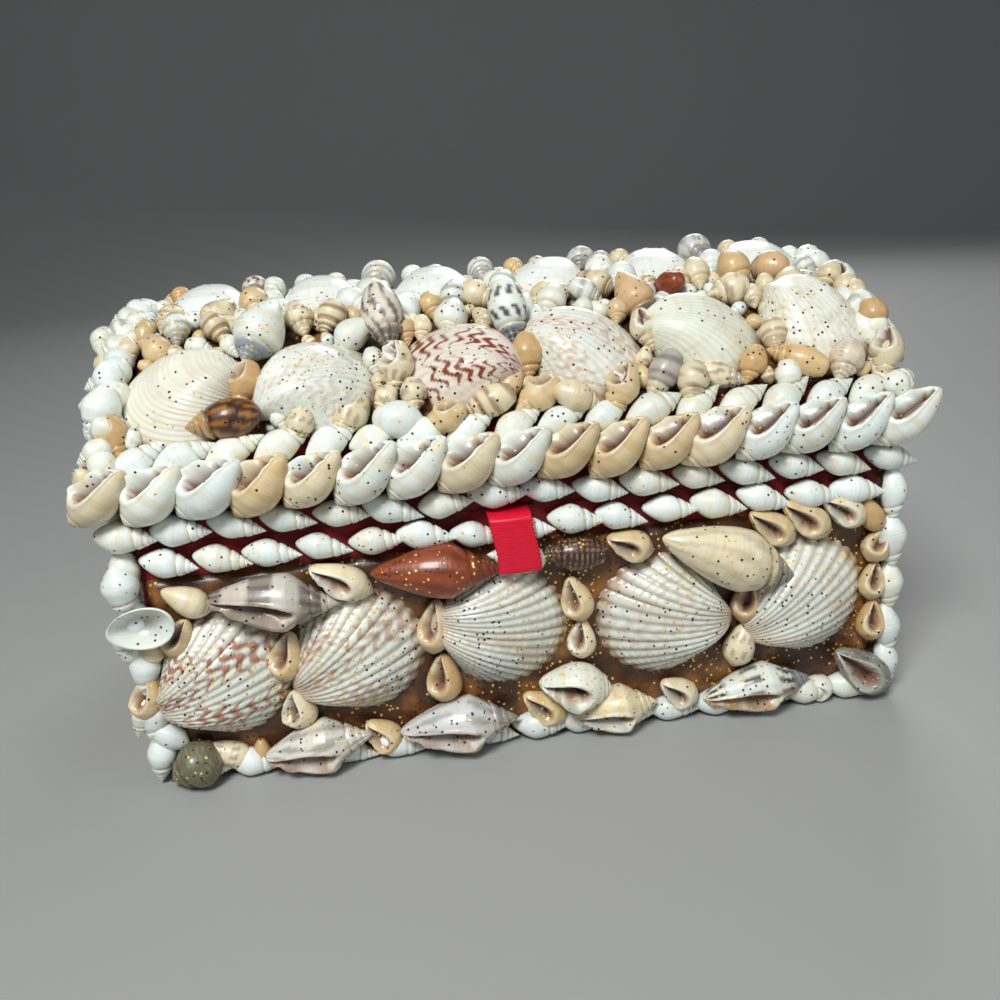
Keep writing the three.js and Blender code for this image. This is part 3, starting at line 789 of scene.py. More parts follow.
# %% [markdown]
# ## Shell finish
# Shells are hard and a little translucent, and here they are varnished, so a clear coat lies over a fairly
# smooth body. The colour comes from the points. The shader adds what is finer than the grid: growth lines,
# cloudy stains, and the glitter, which is a few of the cells of a Voronoi pattern, gold ones and black ones.


# %% Glitter
GOLD = colour(255, 216, 110)
SOOT = colour(30, 24, 20)
FLECKS = 720.0  # cells to a metre


def glitter(finish, place, amount):
    """Masks of gold and black flecks. A fleck is the core of a cell, and each cell's own random colour
    says whether it is gold, black or bare. A broad cloud makes them gather in places."""
    cells = finish.add("TexVoronoi", None, {"Vector": place, "Scale": FLECKS}, out="Distance")
    lot = finish.add("SeparateColor", None, {0: cells.output("Color")}, out=0)
    cloud = finish.noise(place, 55.0, 3.0).ramp(0.42, 0.66)
    core = cells.ramp(0.27, 0.21)
    gold = lot.maths("LESS_THAN", lot, (0.05 + 0.95 * cloud) * amount) * core
    black = lot.maths("GREATER_THAN", lot, 1 - (0.3 + 0.35 * cloud) * amount) * core
    return gold, black


print("flecks of glitter are about", round(1000 / FLECKS, 1), "mm apart")


# %% The shell finishes
def shell_finish(name, lines, roughness, coat):
    """Varnished shell: point colours, cloudy stains, growth lines as bump, and glitter as dense as the third
    pattern value says. lines is how many growth lines run over the shell."""
    finish = Finish(name, Coat_Roughness=0.14, Coat_IOR=1.5, Specular_IOR_Level=0.5)
    place = finish.add("TexCoord", out="Object")
    pattern = finish.add("Attribute", {"attribute_name": "pattern"}, out="Vector")
    tint = finish.add("Attribute", {"attribute_name": "tint"}, out="Color")
    amount = finish.add("SeparateXYZ", None, {0: pattern}, out="Z")
    cloud = finish.noise(place, 260.0, 3.0)
    tint = finish.mix(cloud.ramp(0.4, 0.75) * 0.2, tint, colour(212, 186, 150), "MULTIPLY")
    broad = finish.noise(place, 60.0, 2.0)
    tint = finish.mix(broad.ramp(0.4, 0.7) * 0.14, tint, colour(222, 204, 176), "MULTIPLY")
    stretched = finish.add("Mapping", None, {"Vector": pattern, "Scale": (lines, 2.0, 1.0)})
    growth = finish.noise(stretched, 1.0, 3.0)
    tint = finish.mix(growth.ramp(0.5, 0.7) * 0.16, tint, colour(200, 178, 150), "MULTIPLY")
    gold, black = glitter(finish, place, amount)
    tint = finish.mix(black, tint, SOOT)
    tint = finish.mix(gold, tint, GOLD)
    fleck = finish.noise(place, 900.0, 1.0) * 0.25
    relief = growth * 0.9 + fleck + 0.8 * (gold + black)
    bump = finish.add("Bump", None, {"Strength": 0.5, "Distance": 0.0002, "Height": relief}, out="Normal")
    rough = roughness + 0.25 * cloud - 0.12 * gold
    return finish.set(Base_Color=tint, Roughness=rough, Metallic=gold * 0.4, Coat_Weight=coat, Normal=bump)


small_finish = shell_finish("white_porcelain", 40.0, 0.3, 0.25)
mouthed_finish = shell_finish("open_mouthed_shell", 46.0, 0.3, 0.3)
mixed_finish = shell_finish("varnished_whelk", 60.0, 0.28, 0.35)
cockle_finish = shell_finish("varnished_cockle", 26.0, 0.28, 0.4)
for finish in (small_finish, mouthed_finish, mixed_finish, cockle_finish):
    print(finish.name, "has", len(finish.node_tree.nodes), "nodes")

# %% [markdown]
# ## White rows along the edges
# Little white spindles lie nose to tail along every edge of the box, each tip resting on the next one's
# nose. A path gives the place at a distance along the row, which serves the straight rows, the corner
# columns and the two rows that bend over the ends of the arch.

# %% One white row
PITCH = 12.3
SPINDLE_LENGTH = 14.6
SPINDLE_RISE = 5  # lifts each tip over the next nose
SHOWN = (9, 4, 16)  # grid of a spindle on a side that the camera sees
ribbon_low, ribbon_high = corners("ribbon_tab")
RIBBON_X = (ribbon_low[0] + ribbon_high[0]) / 2
RIBBON_REACH = 10  # shells this near to the ribbon's middle make room for it
RIBBON_ASIDE = {"front_rim_row": 0.9, "front_top_row": -0.9}


def row_of_spindles(
    name, path, count, run, shown=False, flip=False, tilt=-9.0, beyond=0.0, length=SPINDLE_LENGTH,
):
    """Spindles nose to tail on one path, each a little different. The row may reach a little beyond its
    solid at both ends. flip turns them round, and tilt turns them on the wall, in degrees."""
    piece = Piece("shells_" + name)
    pitch = (run + 2 * beyond) / count
    for i in range(count):
        place = path((i + 0.5) * pitch - beyond)
        form = replace(SPINDLE, girth=SPINDLE.girth * rng.uniform(0.92, 1.06), belly=rng.uniform(0.38, 0.46))
        look = rng.choice(["white", "white", "white", "white", "ivory", "ivory"])
        angle = rng.normal(tilt, 5) + (180 if flip else 0)
        size = length * rng.uniform(0.95, 1.06)
        aside = place.moved(rng.normal(0, 0.2), rng.normal(0, 0.25))
        if name in RIBBON_ASIDE and abs(place.foot[0] - RIBBON_X) < RIBBON_REACH:
            aside = aside.moved(0, RIBBON_ASIDE[name])
        grid = SHOWN if shown else PLAIN
        flecks = rng.uniform(0.1, 0.5)
        glue_whelk(piece, aside, form, look, size, angle, BACK_UP, grid, rise=SPINDLE_RISE, sparkle=flecks)
    return piece.build(small_finish, "white_shell", [name])


# %% Straight rows and corner columns
def straight_path(side, node):
    """Path along a wall at the height of a solid, and its run."""
    low, high = corners(node)
    run = (high - low)[run_axis(side)]
    z = (low[2] + high[2]) / 2

    def path(t):
        return wall(side, t - run / 2, z)

    return path, run


for side in WALLS:
    for row in ("top_row", "bottom_row", "rim_row"):
        path, run = straight_path(side, f"{side}_{row}")
        row_of_spindles(f"{side}_{row}", path, round(run / PITCH), run, side == "front")

CORNERS = {"front_left": (-1, -1), "front_right": (1, -1), "back_right": (1, 1), "back_left": (-1, 1)}


def corner_path(x, y):
    """Path up a corner of the case, whose shells look outwards along the diagonal."""
    out = np.array([x, y, 0.0]) / math.sqrt(2)
    along = np.array([0.0, 0.0, 1.0])
    up = np.cross(out, along)

    def path(t):
        return Place(np.array([x * LENGTH / 2, y * DEPTH / 2, GLUE + t]), along, up, out)

    return path


for name, (x, y) in CORNERS.items():
    path = corner_path(x, y)
    row_of_spindles(f"{name}_corner_column", path, 5, CASE_HEIGHT - GLUE, y < 0, True, 0, length=16.0)
print("straight rows and corners done:", totals)

# %% Rows round the lid
EDGE_ARC = ARCH_HALF_RUN - 2.5
EDGE_SHELLS = 17
EDGE_TILT = 28
END_X = LENGTH / 2 + 0.5
END_SHELLS = 10


def edge_path(sign, run):
    """Path along a lower edge of the arch. The shells lie a little sunk, behind the open mouths."""

    def path(t):
        return arch(t - run / 2, sign * (EDGE_ARC + 3.4)).moved(0, 0, -0.6)

    return path


for name, sign in (("front", -1), ("back", 1)):
    row = f"lid_{name}_edge_row"
    low, high = corners(row)
    run = high[0] - low[0]
    path = edge_path(sign, run)
    row_of_spindles(row, path, EDGE_SHELLS, run, sign < 0, tilt=-EDGE_TILT * sign, beyond=8.0, length=15.6)


def end_path(sign):
    """Path over an end of the arch, from front to back."""

    def path(t):
        place = arch(sign * END_X, t - ARCH_HALF_RUN)
        return Place(place.foot, place.up, -place.along, place.out)

    return path


for name, sign in (("left", -1), ("right", 1)):
    row_of_spindles(f"lid_{name}_end_row", end_path(sign), END_SHELLS, 2 * ARCH_HALF_RUN)
print("white rows done:", totals)

# %% [markdown]
# ## Open-mouthed shells round the rim
# Round the rim of the lid larger shells lie aslant with the mouth out, each belly nested beside the next.
# Their thick pale lips make the strongest line of the whole box, so they get a finer grid at the front.

# %% Open-mouthed rows
MOUTHED_LENGTH = 20.5
MOUTHED_PITCH = 11.9
MOUTHED_SLANT = 41.0
MOUTHED_LIFT = 2.2  # how far the row lies above the middle of its solid
MOUTHED_HEIGHT, MOUTHED_RISE = 6.6, -8  # of the axis over the wall, and of the tip in degrees
MOUTH_OUT = 74  # spin that turns the mouth outwards and aside
FINE_MOUTH, PLAIN_MOUTH = (26, 3, 36), (16, 3, 24)


def row_of_mouths(side):
    """Open-mouthed shells at equal steps along a wall, all slanting one way, each a little different."""
    name = f"{side}_mouthed_row"
    low, high = corners(name)
    run = (high - low)[run_axis(side)]
    reach = run - 0.7 * MOUTHED_LENGTH * math.cos(math.radians(MOUTHED_SLANT)) + 4
    steps = round(reach / MOUTHED_PITCH)
    z = (low[2] + high[2]) / 2 + MOUTHED_LIFT
    piece = Piece("shells_" + name)
    for i in range(steps + 1):
        place = wall(side, (i / steps - 0.5) * reach + rng.normal(0, 0.3), z + rng.normal(0, 0.3))
        form = replace(MOUTHED, girth=rng.uniform(0.28, 0.31), mouth_width=rng.uniform(0.4, 0.5))
        look = rng.choice(["white", "white", "ivory", "ivory", "cream", "beige"])
        angle = 180 + MOUTHED_SLANT + rng.normal(0, 3)
        length = MOUTHED_LENGTH * rng.uniform(0.95, 1.05)
        grid = FINE_MOUTH if side == "front" else PLAIN_MOUTH
        raised = (MOUTHED_HEIGHT, MOUTHED_RISE)
        flecks = rng.uniform(0.1, 0.5)
        glue_whelk(piece, place, form, look, length, angle, MOUTH_OUT, grid, *raised, sparkle=flecks)
    return piece.build(mouthed_finish, "cream_shell", [name])


for side in WALLS:
    row_of_mouths(side)
print("open-mouthed rows done:", totals)

# %% [markdown]
# ## Cockles
# Five large cockles fill the front of the case, each turned its own way, and three rows of them cover the
# lid. The hidden walls have plainer rows of the same shells.

# %% Cockles of the front
CASE_COCKLE = (34.4, 34.0, 9.8)
SHARP = (70, 162)  # rows and columns of a shell whose ribs are seen close
ROUGH = (20, 72)  # and of one on a hidden side
RIBBED = Cockle(
    ribs=27, rib_height=0.62, knobs=22, tint=WHITE, stain=0.5, marks=colour(170, 84, 18), mark_share=0.35,
    flush=colour(200, 140, 88), sparkle=1.4,
)
# Place along and up the wall, turn of the hinge in degrees, ribs, and how strong the zigzags are.
FRONT_COCKLES = [
    (-76.0, 28.2, 200, 29, 0.8),
    (-43.0, 30.6, 206, 26, 0.5),
    (-6.5, 32.6, 167, 31, 0.12),
    (33.5, 30.6, -7, 26, 0.2),
    (72.5, 31.8, 208, 27, 0.1),
]

for i, (a, z, turn, ribs, mark_share) in enumerate(FRONT_COCKLES):
    name = f"front_cockle_{i + 1}"
    piece = Piece("shell_" + name)
    form = replace(RIBBED, ribs=ribs, mark_share=mark_share)
    glue_cockle(piece, wall("front", a, z), form, CASE_COCKLE, turn, SHARP)
    piece.build(cockle_finish, "ribbed_shell", [name])
print("front cockles done:", totals)

# %% Cockles of the hidden walls
HIDDEN = ("back", "left", "right")
OVERLAP = 0.9
HIDDEN_COCKLE = 30.0


def middle(node):
    """Middle of a solid's box, in millimetres."""
    low, high = corners(node)
    return (low + high) / 2


def touching_places(node, axis, width):
    """Middles of equal shells that fill a solid's run, each overlapping the next a little, and how wide they
    come out."""
    low, high = corners(node)
    run = high[axis] - low[axis]
    count = round(run / width)
    wide = (run + (count - 1) * OVERLAP) / count
    return [(i - (count - 1) / 2) * (wide - OVERLAP) for i in range(count)], wide


for side in HIDDEN:
    name = f"{side}_cockle_row"
    places, wide = touching_places(name, run_axis(side), HIDDEN_COCKLE)
    size = (HIDDEN_COCKLE, wide + 0.6, 9.2)
    piece = Piece("shells_" + name)
    for a in places:
        stain, ribs = rng.uniform(0.2, 0.7), int(rng.integers(20, 26))
        form = replace(RIBBED, stain=stain, ribs=ribs, knobs=0, sparkle=0.5)
        glue_cockle(piece, wall(side, a, middle(name)[2]), form, size, 90 + rng.normal(0, 5), ROUGH)
    piece.build(cockle_finish, "ribbed_shell", [name])
print("cockles of the case done:", totals)

# %% Kinds of cockle on the lid
LID_COCKLE = (31.0, 30.5, 11.0)
LID_FORMS = [
    Cockle(
        ribs=0, rib_height=0, rings=30, ring_height=0.22, tint=colour(230, 228, 212), stain=0.1,
        flush=WHITE, sparkle=0.25,
    ),
    Cockle(
        ribs=40, rib_height=0.13, rings=9, ring_height=0.08, tint=WHITE, stain=0.1,
        marks=RUST, mark_share=0.25, sparkle=0.9,
    ),
    Cockle(
        ribs=30, rib_height=0.14, rings=16, ring_height=0.08, tint=colour(232, 224, 212), stain=0.2,
        marks=colour(132, 60, 34), mark_share=1.0, flush=colour(150, 96, 96), sparkle=0.7,
    ),
    Cockle(
        ribs=36, rib_height=0.2, rings=20, ring_height=0.14, tint=colour(236, 240, 232), stain=0.2,
        marks=colour(206, 136, 76), mark_share=0.4, sparkle=0.5,
    ),
    Cockle(
        ribs=38, rib_height=0.15, rings=6, ring_height=0.08, tint=colour(236, 240, 224), stain=0.1,
        sparkle=0.3,
    ),
    Cockle(
        ribs=34, rib_height=0.12, rings=12, ring_height=0.12, tint=colour(238, 240, 228), stain=0.15,
        marks=TAN, mark_share=0.25, sparkle=0.6,
    ),
]
SMOOTH = Cockle(
    ribs=30, rib_height=0.06, fullness=0.16, tint=colour(240, 245, 240), stain=0.06, sparkle=0.25,
)
print("rings on the cockles of the lid:", [form.rings for form in LID_FORMS])

# %% Cockles of the lid
# Place along the lid and over the arch, and the turn of the hinge, for each form of the first row.
LID_PLACES = ((-79.5, -45.5), (-46.0, -43.5), (-12.0, -42.0), (20.5, -42.0), (51.5, -39.5), (80.5, -40.5))
LID_TURNS = (24, 212, -24, 158, 172, 118)
MIDDLE_X = (-76.0, -44.5, -13.5, 17.5, 50.0, 80.5)
MIDDLE_COCKLE = (30.5, 30.0, 10.2)
EDGE_ROW_HALF, ROW_GAP, BACK_COCKLE_HALF = 3.1, 0.6, 13.5
LID_COCKLE_ARC = EDGE_ARC - EDGE_ROW_HALF - ROW_GAP - BACK_COCKLE_HALF

for i, (form, place, turn, x) in enumerate(zip(LID_FORMS, LID_PLACES, LID_TURNS, MIDDLE_X)):
    name = f"lid_front_cockle_{i + 1}"
    piece = Piece("shell_" + name)
    grid = (120, 64) if form.rings > 25 else (64, 124)  # fine rings need rows, fine ribs need columns
    glue_cockle(piece, arch(*place), form, LID_COCKLE, turn, grid)
    piece.build(cockle_finish, "ribbed_shell", [name])
    name = f"lid_middle_cockle_{i + 1}"
    piece = Piece("shell_" + name)
    glue_cockle(piece, arch(x, 0), SMOOTH, MIDDLE_COCKLE, 90 + rng.normal(0, 12), (24, 80))
    piece.build(cockle_finish, "ribbed_shell", [name])

places, wide = touching_places("lid_back_cockle_row", 0, 26.0)
size = (2 * BACK_COCKLE_HALF, wide + 0.6, 8.2)
piece = Piece("shells_lid_back_cockle_row")
for x in places:
    form = replace(SMOOTH, rib_height=rng.uniform(0.05, 0.3), stain=rng.uniform(0.05, 0.4))
    glue_cockle(piece, arch(x, LID_COCKLE_ARC), form, size, -90 + rng.normal(0, 6), ROUGH)
piece.build(cockle_finish, "ribbed_shell", ["lid_back_cockle_row"])
print("cockles of the lid done:", totals)

# %% Cockles of the lid's two ends
GABLE_OVERLAP = 3.5
GABLE_TALLEST = 27.0
for side in ("left", "right"):
    name = f"lid_{side}_gable_cockles"
    low, high = corners(name)
    piece = Piece("shells_" + name)
    wide = (high[1] - low[1] + 2 * GABLE_OVERLAP) / 3
    for a in (-(wide - GABLE_OVERLAP), 0, wide - GABLE_OVERLAP):
        outermost = abs(a) + wide / 4
        top = ARCH_CENTRE_Z + math.sqrt(ARCH_RADIUS**2 - outermost**2) - 0.6
        tall = min(top - low[2], GABLE_TALLEST)
        form = replace(RIBBED, rib_height=0.3, stain=0.3)
        glue_cockle(piece, wall(side, a, low[2] + tall / 2), form, (tall, wide, 8.2), -90, ROUGH)
    piece.build(cockle_finish, "ribbed_shell", [name])
print("cockles done:", totals)

# %% [markdown]
# ## The little dish
# At the top left of the front one shell lies with its hollow side out, so one sees its grey inside and its
# pale rim. It has no solid of its own, because it is a small piece of relief. Its skin is one more closed
# grid: a bowl whose radius grows to the rim along the hollow, and shrinks again along the outside.


# %% The dish
def dish_grid(rows=24, columns=36):
    """An open, hollow half shell of width 1, its hollow side up. The radius r runs from 0 at the hollow's
    middle to 1/2 at the rim and back to 0 underneath.
    Hollow: z = 0.30 × (2r)² + 0.06. Outside: z = 0.28 × (2r)^1.6."""
    share = np.linspace(0, 2, rows)[:, None]
    inner = share <= 1
    r = 0.5 * np.where(inner, share, 2 - share)
    angle = (np.arange(columns) / columns * TAU)[None, :]
    across = 0.64 * r * np.sin(angle) * (1 + 0.15 * np.cos(angle))
    z = np.where(inner, 0.3 * (2 * r) ** 2 + 0.06, 0.28 * (2 * r) ** 1.6)
    points = np.stack([r * np.cos(angle), across, z + 0 * angle], -1)
    masks = {"x": r + 0 * angle, "turn": angle + 0 * r, "inner": inner * (1 - 2 * r) + 0 * angle}
    return points, masks


DISH_LENGTH, DISH_TURN, DISH_HEIGHT = 16.5, 4.0, 4.0
points, masks = dish_grid()
tint = WHITE + (GREY - WHITE) * (0.75 * masks["inner"][..., None])
points = turned(points * DISH_LENGTH, DISH_TURN) + [0, 0, DISH_HEIGHT]
dish = Piece("shell_front_dish")
settle(dish, wall("front", -93.0, 45.6), points, masks, tint, stain=0.5, sparkle=0.5)
dish.build(mixed_finish, "mixed_shell")
print("dish done:", totals)

# %% [markdown]
# ## Garlands
# Whelks and snails of many kinds lie above and below the cockles. On the front they follow one order, shell
# by shell, and the hidden walls repeat a plainer pair. Each is a line of a list: the kind, the look, where
# it lies, its length and width, which way its tip points and which side is up.

# %% Garlands of the front
UPPER_Z = middle("front_upper_garland")[2]
LOWER_Z = middle("front_lower_garland")[2]
# Kind, look, place along and up the wall, length, width, which way the tip points in degrees, and spin.
FRONT_UPPER = [
    (NASSA, "cream", -83, 49.5, 13, 7.6, -31, BACK_UP),
    (NASSA, "beige", -86, 40.3, 11, 8.0, -124, MOUTH_ASIDE),
    (STROMB, "grey_bands", -63, 48.0, 32, 14.5, -9, MOUTH_DOWN),
    (NASSA, "cream", -46, 50.6, 17, 8.7, -29, MOUTH_DOWN),
    (STROMB, "brown", -23, 50.7, 33, 14.0, -5, BACK_UP),
    (SNAIL, "ivory", -2, 51.2, 15, 8.4, 169, BACK_UP),
    (BARREL, "dark_rings", 12, 50.8, 18, 9.4, 175, BACK_UP),
    (NASSA, "beige", 26, 51.3, 13, 8.5, -23, MOUTH_DOWN),
    (CONE, "cream_grey", 50, 46.4, 38, 17.2, -23, BACK_UP),
    (NASSA, "beige", 63, 51.9, 15, 8.6, -37, MOUTH_DOWN),
    (NASSA, "beige", 72, 53.2, 16, 8.6, -37, MOUTH_DOWN),
    (NASSA, "cream", 82, 54.2, 14, 8.1, -33, MOUTH_DOWN),
    (NASSA, "tan", 90, 52.0, 11, 6.4, -66, BACK_UP),
]
FRONT_LOWER = [
    (SNAIL, "olive", -87, 6.0, 14, 13.4, -150, BACK_UP),
    (NASSA, "speckled", -79, 6.8, 13, 7.1, -27, BACK_UP),
    (EGG, "white", -93, 14.0, 12, 7.0, -39, BACK_UP),
    (STROMB, "grey_folds", -57, 5.1, 28, 14.3, 6, MOUTH_DOWN),
    (NASSA, "beige", -40, 6.9, 12, 8.7, -46, MOUTH_DOWN),
    (STROMB, "grey", -21, 8.5, 31, 15.0, 0, MOUTH_DOWN),
    (NASSA, "beige", 2, 9.0, 14, 8.6, -40, MOUTH_DOWN),
    (MOUTHED, "ivory", 10, 14.9, 20, 13.0, -13, MOUTH_UP),
    (STROMB, "cream", 20, 6.2, 23, 13.1, 4, MOUTH_DOWN),
    (NASSA, "cream", 38, 8.4, 12, 8.4, -36, MOUTH_DOWN),
    (STROMB, "black_white", 58, 7.7, 30, 13.3, 5, MOUTH_DOWN),
    (NASSA, "ivory", 76, 3.7, 11, 7.3, -8, MOUTH_DOWN),
    (NASSA, "slate", 88, 8.9, 20, 11.3, -41, MOUTH_UP),
]
print("shells of the front's garlands:", len(FRONT_UPPER), "and", len(FRONT_LOWER))

# %% Laying a garland
taken = []  # discs of the lid's ground that shells already cover: x, arc and radius


def take(a, u, length, width, angle):
    """Notes the ground that a shell covers, as three discs along it."""
    c, s = math.cos(math.radians(angle)), math.sin(math.radians(angle))
    for share in (-0.27, 0.0, 0.27):
        taken.append((a + share * length * c, u + share * length * s, 0.4 * width))


def garland(name, shells, place_at, nodes=(), grid=FINE, noted=False, sparkle=0.6):
    """Shells from a list. The last two numbers of a line, where given, are the axis's height and the rise.
    A short shell gets a coarser grid. noted says that the ground they cover is written down."""
    piece = Piece(name)
    for form, look, a, u, length, width, angle, spin, *raised in shells:
        fine = grid if length > 15 else min(grid, MEDIUM)
        form = replace(form, girth=width / length / 2)
        flecks = sparkle * rng.uniform(0.3, 1.4)
        glue_whelk(piece, place_at(a, u), form, look, length, angle, spin, fine, *raised, sparkle=flecks)
        if noted:
            take(a, u, length, width, angle)
    return piece.build(mixed_finish, "mixed_shell", nodes)


on_front = partial(wall, "front")
garland("shells_front_upper_garland", FRONT_UPPER, on_front, ["front_upper_garland"])
garland("shells_front_lower_garland", FRONT_LOWER, on_front, ["front_lower_garland"], sparkle=1.5)
print("front garlands done:", totals)

# %% [markdown]
# ## Garlands of the hidden walls and the lid
# These are drawn from a small stock of kinds and looks with seeded chance, so that they come out the same
# each run.

# %% Stock and plain garlands
STOCK = [
    (CONCH, "grey_cream", 24),
    (NASSA, "beige", 11),
    (FOLDED, "cream", 22),
    (SNAIL, "ivory", 12),
    (BARREL, "speckled", 18),
    (NASSA, "tan", 11),
    (CONCH, "grey_bands", 24),
    (SNAIL, "peach", 12),
]


def plain_line(run, height):
    """A list of shells from the stock, laid end to end along a run. Short ones may show their mouths."""
    shells, a = [], -run / 2
    while a < run / 2 - 9:
        form, look, length = STOCK[rng.integers(len(STOCK))]
        length = min(length * rng.uniform(0.92, 1.08), run / 2 - a)
        spin = BACK_UP if length > 15 or rng.random() < 0.4 else MOUTH_ASIDE
        tip = rng.normal(0, 8) + (180 if rng.random() < 0.3 else 0)
        width = 2 * form.girth * length
        shells.append((form, look, a + length / 2, height + rng.normal(0, 0.5), length, width, tip, spin))
        a += length * 0.93
    return shells


for side in HIDDEN:
    for storey, z in (("upper", UPPER_Z), ("lower", LOWER_Z)):
        name = f"{side}_{storey}_garland"
        garland("shells_" + name, plain_line(wall_run(side) - 6, z), partial(wall, side), [name], PLAIN)
print("garlands of the case done:", totals)

# %% Garlands of the lid
# As on the front, with the distance over the arch in place of the height, and the axis's height and rise.
LID_GARLAND = [
    (SNAIL, "ivory", -99, -23, 9, 6.9, -95, BACK_UP, 5, -17),
    (SNAIL, "cream", -92, -29, 8, 5.8, -89, BACK_UP, 5, -30),
    (SNAIL, "ivory", -92, -15, 9, 6.6, -86, BACK_UP, 5, -30),
    (SPINDLE, "beige", -89, -22, 11, 5.7, -91, BACK_UP, 5, -30),
    (SNAIL, "white_grey", -81, -22, 10, 7.7, -86, BACK_UP, 6, -30),
    (SNAIL, "tan_rings", -71, -23, 10, 7.5, -58, BACK_UP, 6, -30),
    (CONE, "blue_tip", -59, -30, 20, 13.7, -117, BACK_UP, 9, -19),
    (SNAIL, "speckled", -50, -22, 11, 8.1, -76, BACK_UP, 6, -30),
    (SNAIL, "tan_rings", -42, -24, 10, 8.1, -126, BACK_UP, 7, -35),
    (BARREL, "brown_rings", -29, -29, 19, 11.5, -83, BACK_UP, 9, -30),
    (SNAIL, "orange", -24, -30, 9, 6.7, -79, BACK_UP, 5, -30),
    (SNAIL, "orange", -16, -19, 9, 7.0, -79, BACK_UP, 5, -30),
    (SNAIL, "white_grey", -10, -17, 11, 8.1, -113, BACK_UP, 6, -32),
    (BARREL, "black_white", 2, -33, 18, 10.7, -86, BACK_UP, 10, -36),
    (SNAIL, "cream", 16, -16, 11, 8.8, -40, BACK_UP, 4, 5),
    (SNAIL, "white_grey", 25, -21, 11, 7.4, -23, BACK_UP, 6, -28),
    (CONE, "peach", 36, -26, 16, 11.2, -69, BACK_UP, 7, -30),
    (BARREL, "brown", 47, -22, 12, 7.3, 115, BACK_UP, 7, -33),
    (SNAIL, "cream", 57, -15, 11, 8.3, -90, BACK_UP, 6, -30),
    (SNAIL, "orange", 67, -17, 13, 9.9, -81, BACK_UP, 7, -30),
    (SNAIL, "peach", 78, -14, 13, 10.2, 120, BACK_UP, 6, -13),
    (SNAIL, "cream", 73, -24, 8, 5.8, -104, BACK_UP, 5, -30),
    (SNAIL, "white_grey", 88, -15, 9, 7.0, -77, BACK_UP, 5, -30),
    (SNAIL, "cream", 91, -23, 9, 6.9, -135, BACK_UP, 6, -37),
    (TURBAN, "ivory", 95, -24, 11, 6.9, -102, MOUTH_ASIDE, 5, -30),
    (SNAIL, "cream", 95, -31, 8, 6.3, -108, BACK_UP, 5, -30),
]
garland("shells_lid_front_garland", LID_GARLAND, arch, ["lid_front_garland"], noted=True)
back_line = plain_line(LENGTH - 14, LID_COCKLE_ARC / 2)
garland("shells_lid_back_garland", back_line, arch, ["lid_back_garland"], PLAIN)
print("garlands done:", totals)

# %% [markdown]
# ## Gap fillers
# Wherever the large shells leave a gap, small snails are pushed in. Between the front cockles they come in
# pairs with the mouth out. On the lid they stand between the cockles of the first row and in front of them,
# along the crest, and in two lines over each end.

# %% Fillers of the front
FRONT_FILLERS = [
    (SPINDLE, "white", -97, 54.0, 15, 9.6, -88, BACK_UP),
    (SPINDLE, "ivory", -99, 41.0, 12, 6.8, -95, BACK_UP),
    (SPINDLE, "ivory", -98, 20.0, 12, 7.0, -110, BACK_UP),
    (SPINDLE, "white", -97, 36.9, 9, 6.3, -41, BACK_UP),
    (NASSA, "cream", -93, 37.6, 8, 6.3, -97, BACK_UP),
    (NASSA, "beige", -96, 25.4, 13, 8.1, -107, MOUTH_ASIDE),
    (NASSA, "tan", -71, 5.7, 8, 5.6, -91, BACK_UP),
    (NASSA, "beige", -61, 32.2, 14, 9.1, -104, MOUTH_ASIDE),
    (NASSA, "cream", -60, 17.5, 11, 9.3, -84, MOUTH_ASIDE),
    (NASSA, "beige", -24, 35.6, 15, 9.2, -99, MOUTH_ASIDE),
    (NASSA, "tan", -23, 21.3, 14, 9.4, -92, MOUTH_ASIDE),
    (NASSA, "beige", 12, 38.5, 13, 8.6, -77, MOUTH_ASIDE),
    (NASSA, "cream", 13, 27.1, 11, 7.9, -95, MOUTH_ASIDE),
    (NASSA, "tan", 57, 32.5, 13, 8.8, -102, MOUTH_ASIDE),
    (NASSA, "speckled", 55, 20.2, 13, 8.6, -108, BACK_UP),
    (NASSA, "beige", 92, 43.6, 10, 7.8, -120, MOUTH_ASIDE),
    (NASSA, "beige", 91, 33.6, 11, 7.3, -96, MOUTH_UP),
    (NASSA, "tan", 91, 22.4, 12, 7.9, -94, MOUTH_UP),
]
garland("shells_front_fillers", FRONT_FILLERS, on_front, grid=MEDIUM, sparkle=0.9)
print("fillers of the front:", len(FRONT_FILLERS))

